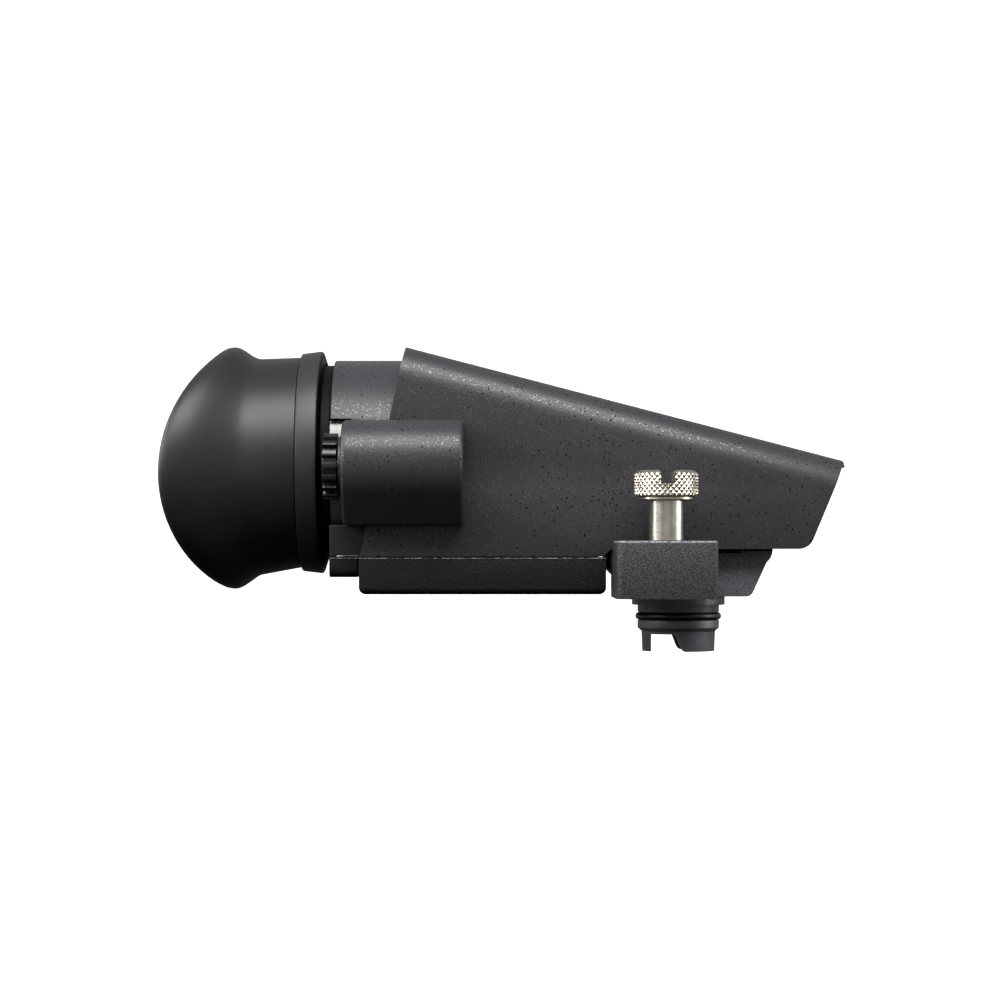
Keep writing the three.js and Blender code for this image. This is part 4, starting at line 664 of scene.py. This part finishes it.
# The dial: a turned hub under sixteen square ribs
DIAL_AXIS = (0, -27 * MM, 25.8 * MM)
RIB_COUNT, RIB_MIDDLE, RIB_RADIUS = 16, -69.6, 5.85
hub_profile = [
    (-71.0, 0.0, 0.0), (-71.0, 5.45), (-68.2, 5.45),
    (-68.2, 1.75), (-70.2, 1.75), (-70.2, 0.0, 0.0),
]
hub = turned("dial_hub", rounded(hub_profile, 0.2), "x", DIAL_AXIS, 96)
rib_size = (2.8 * MM, 1.15 * MM, 1.3 * MM)
rib = bevelled_block("dial_rib", rib_size, 0.16 * MM, (0, 0, RIB_RADIUS * MM))
rib_place = (RIB_MIDDLE * MM, DIAL_AXIS[1], DIAL_AXIS[2])
rib_turns = [(rib_place, (2 * math.pi * i / RIB_COUNT, 0, 0)) for i in range(RIB_COUNT)]
ribs = repeated("dial_ribs", rib, rib_turns, dial_acetal)
bpy.data.objects.remove(rib)
dress(joined("ribbed_dioptre_dial", [hub, ribs]), "dioptre_dial", dial_acetal)


def cross_recess_screw(name, length, radius, head_radius, head_height):
    """A small machine screw along +Z with its head at the origin, in millimetres: a chamfered
    rim, a cross recess and a thread of plain rings."""
    pitch, recess_width, recess_length = 0.45, 0.34, head_radius * 1.1
    thread = []
    z = head_height
    while z < length - pitch:
        thread += [(z, radius - 0.12), (z + pitch / 2, radius)]
        z += pitch
    profile = [(0.0, 0.0), (0.0, head_radius * 0.82), (head_height * 0.35, head_radius)]
    profile += [(head_height, head_radius), *thread]
    profile += [(length - pitch / 2, radius - 0.15), (length, 0.0)]
    body = turned(name, profile, "z", (0, 0, 0), 32)
    arms = [
        bevelled_block("recess", (size_x * MM, size_y * MM, head_height * 1.1 * MM), 0.02 * MM)
        for size_x, size_y in ((recess_length, recess_width), (recess_width, recess_length))
    ]
    for arm in arms:
        cut = body.modifiers.new("recess", "BOOLEAN")
        cut.object, cut.operation, cut.solver = arm, "DIFFERENCE", "EXACT"
    bake_modifiers(body)
    for arm in arms:
        bpy.data.objects.remove(arm)
    return body


def node_centre(name):
    """The middle of a CAD node's box."""
    low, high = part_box(name)
    return [(a + b) / 2 for a, b in zip(low, high)]


def screw_set(name, model, members, direction):
    """One screw at each of these nodes' places, pointing along direction from its head."""
    turn = {"+z": (0, 0, 0), "-z": (math.pi, 0, 0), "-y": (math.pi / 2, 0, 0)}[direction]
    places = []
    for member in members:
        x, y, z = node_centre(member)
        low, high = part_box(member)
        head = {"+z": (x, y, low[2]), "-z": (x, y, high[2]), "-y": (x, high[1], z)}[direction]
        places.append((head, turn))
    dress(repeated(name, model, places, steel), members, steel)


big_screw = cross_recess_screw("cover_screw_model", 5.2, 1.0, 1.9, 0.8)
little_screw = cross_recess_screw("small_screw_model", 3.6, 0.8, 1.5, 0.5)
block_screw = cross_recess_screw("block_screw_model", 6.2, 0.8, 1.5, 0.5)
screw_set("base_cover_screws", big_screw, [f"base_cover_screw_{i}" for i in range(1, 5)], "+z")
screw_set("chassis_screws", big_screw, ["chassis_screw_1", "chassis_screw_2"], "+z")
screw_set("foot_cover_screws", little_screw, [f"foot_cover_screw_{i}" for i in range(1, 5)], "-z")
screw_set("plug_screws", little_screw, ["plug_screw_1", "plug_screw_2"], "-z")
screw_set("board_screws", little_screw, ["board_screw_1", "board_screw_2"], "-z")
screw_set("block_screws", block_screw, ["block_screw_1", "block_screw_2"], "-y")
for model in (big_screw, little_screw, block_screw):
    bpy.data.objects.remove(model)

# ---------------------------------------------------------------- seals


def ring_section(inner, outer, height, middle, steps=20):
    """The oval section of a ring seal, in millimetres."""
    half_w, half_h, centre = (outer - inner) / 2, height / 2, (outer + inner) / 2
    turns = [2 * math.pi * k / steps for k in range(steps)]
    return [(middle + half_h * math.sin(t), centre + half_w * math.cos(t)) for t in turns]


PLUG_AXIS = (0, -11 * MM, 0)
plug_o_ring = turned("plug_o_ring", ring_section(7.35, 8.72, 1.5, -4.05), "z", PLUG_AXIS, 160)
dress(smoothed(plug_o_ring, 60), "plug_seal_ring", seal_rubber)
grip_o_ring = turned("grip_o_ring", ring_section(3.4, 4.0, 0.6, 10.45), "z", SCREW_CENTRE, 64)
dress(smoothed(grip_o_ring, 60), "screw_grip_ring", seal_rubber)

# ---------------------------------------------------------------- softened mouldings and castings

for node, edge, finish in (
    ("main_housing", 0.3, painted_abs),
    ("front_panel", 0.2, painted_abs),
    ("eyepiece_frame", 0.3, eyepiece_abs),
    ("dioptre_cover", 0.4, eyepiece_abs),
    ("base_cover", 0.25, grained_cover),
    ("eyepiece_chin", 0.2, grained_cover),
    # the foot's finish is painted lighter against the shade it stands in
    ("mount_foot", 0.25, foot_casting_painted_lighter),
    ("screw_block", 0.2, grained_casting),
    ("tilt_chassis", 0.2, grained_casting),
    ("foot_cover", 0.12, cover_abs),
    ("plug_shell", 0.12, plug_abs),
    ("lens_tube", 0.12, barrel_metal),
):
    dress(softened(f"{node}_body", node, edge), node, finish)

# Trim in the scene alone: a near-black foam strip on the foot closes the slit under the housing;
# its black is painted shadow for the slit
STRIP_HEIGHT, STRIP_MIDDLE, STRIP_EDGE = 0.84 * MM, 9.12 * MM, 0.02 * MM


def strip_part(size, at):
    """One length of the strip: its size and its middle seen from above, in millimetres."""
    whole = (size[0] * MM, size[1] * MM, STRIP_HEIGHT)
    return bevelled_block("strip", whole, STRIP_EDGE, (at[0] * MM, at[1] * MM, STRIP_MIDDLE))


strip_parts = [
    strip_part(size, at)
    for size, at in (
        ((24.3, 1.2), (-1.95, -17.9)),
        ((24.3, 1.2), (-1.95, 17.9)),
        ((1.2, 34.5), (-13.5, 0)),
    )
]
strip = joined("foam_dust_strip", strip_parts)
strip.data.materials.append(foam)
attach(strip, nodes["mount_foot"]["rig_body"])

# ---------------------------------------------------------------- CAD nodes that keep their shape

PLAIN = {
    "contact_carrier": dial_acetal,
    "terminal_board": board_lacquer,
    "main_board": board_lacquer,
    "retaining_plate": steel,
    "screw_retaining_ring": steel,
    "hinge_shaft": steel,
    "hinge_washer_left": steel,
    "hinge_washer_right": steel,
    "lead_screw": steel,
    "dial_bush": brass,
    "display_holder": barrel_abs,
    "display_panel": display_glass,
    "display_flex": flex_film,
    "window_ring": barrel_abs,
    "lens_ring": barrel_abs,
    "lens_carriage": barrel_abs,
    "eyepiece_window": lens_glass,
    "eye_lens": lens_glass,
    "field_lens": lens_glass,
    **{f"contact_pin_{i}": gold for i in range(1, 7)},
}
for node, finish in PLAIN.items():
    nodes[node].data.materials.clear()
    nodes[node].data.materials.append(finish)

# ---------------------------------------------------------------- stage

VIEW_POINT = Vector((-36.3, -500, 10.34)) * MM
# In metres, and the sensor in millimetres
VIEW_DISTANCE, SEEN_WIDTH, SENSOR_WIDTH = 0.5, 0.2083, 36
camera = bpy.data.objects.new("camera", bpy.data.cameras.new("camera"))
camera.location = VIEW_POINT
camera.rotation_euler = (math.pi / 2, 0, 0)
camera.data.sensor_width = SENSOR_WIDTH
camera.data.lens = SENSOR_WIDTH * VIEW_DISTANCE / SEEN_WIDTH
camera.data.shift_y = 0.045
camera.data.clip_start = 0.01
scene.collection.objects.link(camera)
scene.camera = camera


def softbox(name, place, target, size, power):
    """A white area light that faces its target, in metres and watts."""
    light = bpy.data.lights.new(name, "AREA")
    light.shape, light.size, light.size_y = "RECTANGLE", size[0], size[1]
    light.energy = power
    holder = bpy.data.objects.new(name, light)
    holder.location = place
    holder.rotation_euler = (Vector(target) - Vector(place)).to_track_quat("-Z", "Y").to_euler()
    scene.collection.objects.link(holder)


middle = (-0.03, 0, 0.025)
softbox("overhead_softbox", (-0.05, -0.45, 0.66), middle, (0.9, 0.42), 10.3)
softbox("left_panel", (-0.95, 0.0, 0.38), middle, (0.5, 0.7), 7.0)
softbox("cup_panel", (-0.6, -0.42, 0.3), (-0.09, 0, 0.03), (0.3, 0.3), 1.3)
softbox("right_panel", (0.9, -0.04, 0.22), middle, (0.5, 0.7), 3.2)

paper, tree, shader, place = new_finish("white_backdrop_paper")
shade = ramp(tree, noise(tree, place, 2.5 * MM), [(0.0, "#fbfbfb"), (1.0, "#ffffff")])
tree.links.new(shade, shader.inputs["Base Color"])
shader.inputs["Roughness"].default_value = 0.9
shader.inputs["Emission Color"].default_value = srgb("#ffffff")
shader.inputs["Emission Strength"].default_value = 0.75
FLOOR_LEVEL, REACH = -0.06, 9.0
bend = [(0.9, FLOOR_LEVEL), (1.3, FLOOR_LEVEL + 0.1), (1.5, FLOOR_LEVEL + 0.4), (1.55, 3.0)]
side = [(-REACH, FLOOR_LEVEL), *bend]
sweep_points = [(x, y, z) for x in (-REACH, REACH) for y, z in side]
sweep_faces = [(i, i + len(side), i + len(side) + 1, i + 1) for i in range(len(side) - 1)]
sweep = new_piece("backdrop", sweep_points, sweep_faces)
sweep.data.materials.append(paper)
sweep.data.shade_smooth()
sweep.visible_glossy = False
sweep.visible_diffuse = False

world = bpy.data.worlds.new("studio")
world.use_nodes = True
sky = world.node_tree
direction = add_node(sky, "ShaderNodeTexCoord").outputs["Generated"]
towards = add_node(sky, "ShaderNodeSeparateXYZ", {"Vector": direction}).outputs
# the brightness from the ground to the zenith
by_height = [(0.0, 0.0), (0.15, 0.015), (0.35, 0.09), (0.46, 0.3), (0.52, 0.43)]
by_height += [(0.7, 0.5), (1.0, 0.22)]
upright = ramp(sky, remap(sky, towards["Z"], 0.0, 1.0, -1.0, 1.0), by_height)
# and how it fades from straight ahead to either side
by_side = [(0.0, 1.0), (0.22, 0.9), (0.5, 0.5), (0.75, 1.0), (0.97, 1.0), (1.0, 0.8)]
bands = ramp(sky, maths(sky, "ABSOLUTE", towards["X"]), by_side)
glow = add_node(sky, "ShaderNodeVectorMath", {0: upright, 1: bands}, operation="MULTIPLY")
sky.links.new(glow.outputs[0], sky.nodes["Background"].inputs["Color"])
scene.world = world
scene.view_settings.view_transform = "Standard"
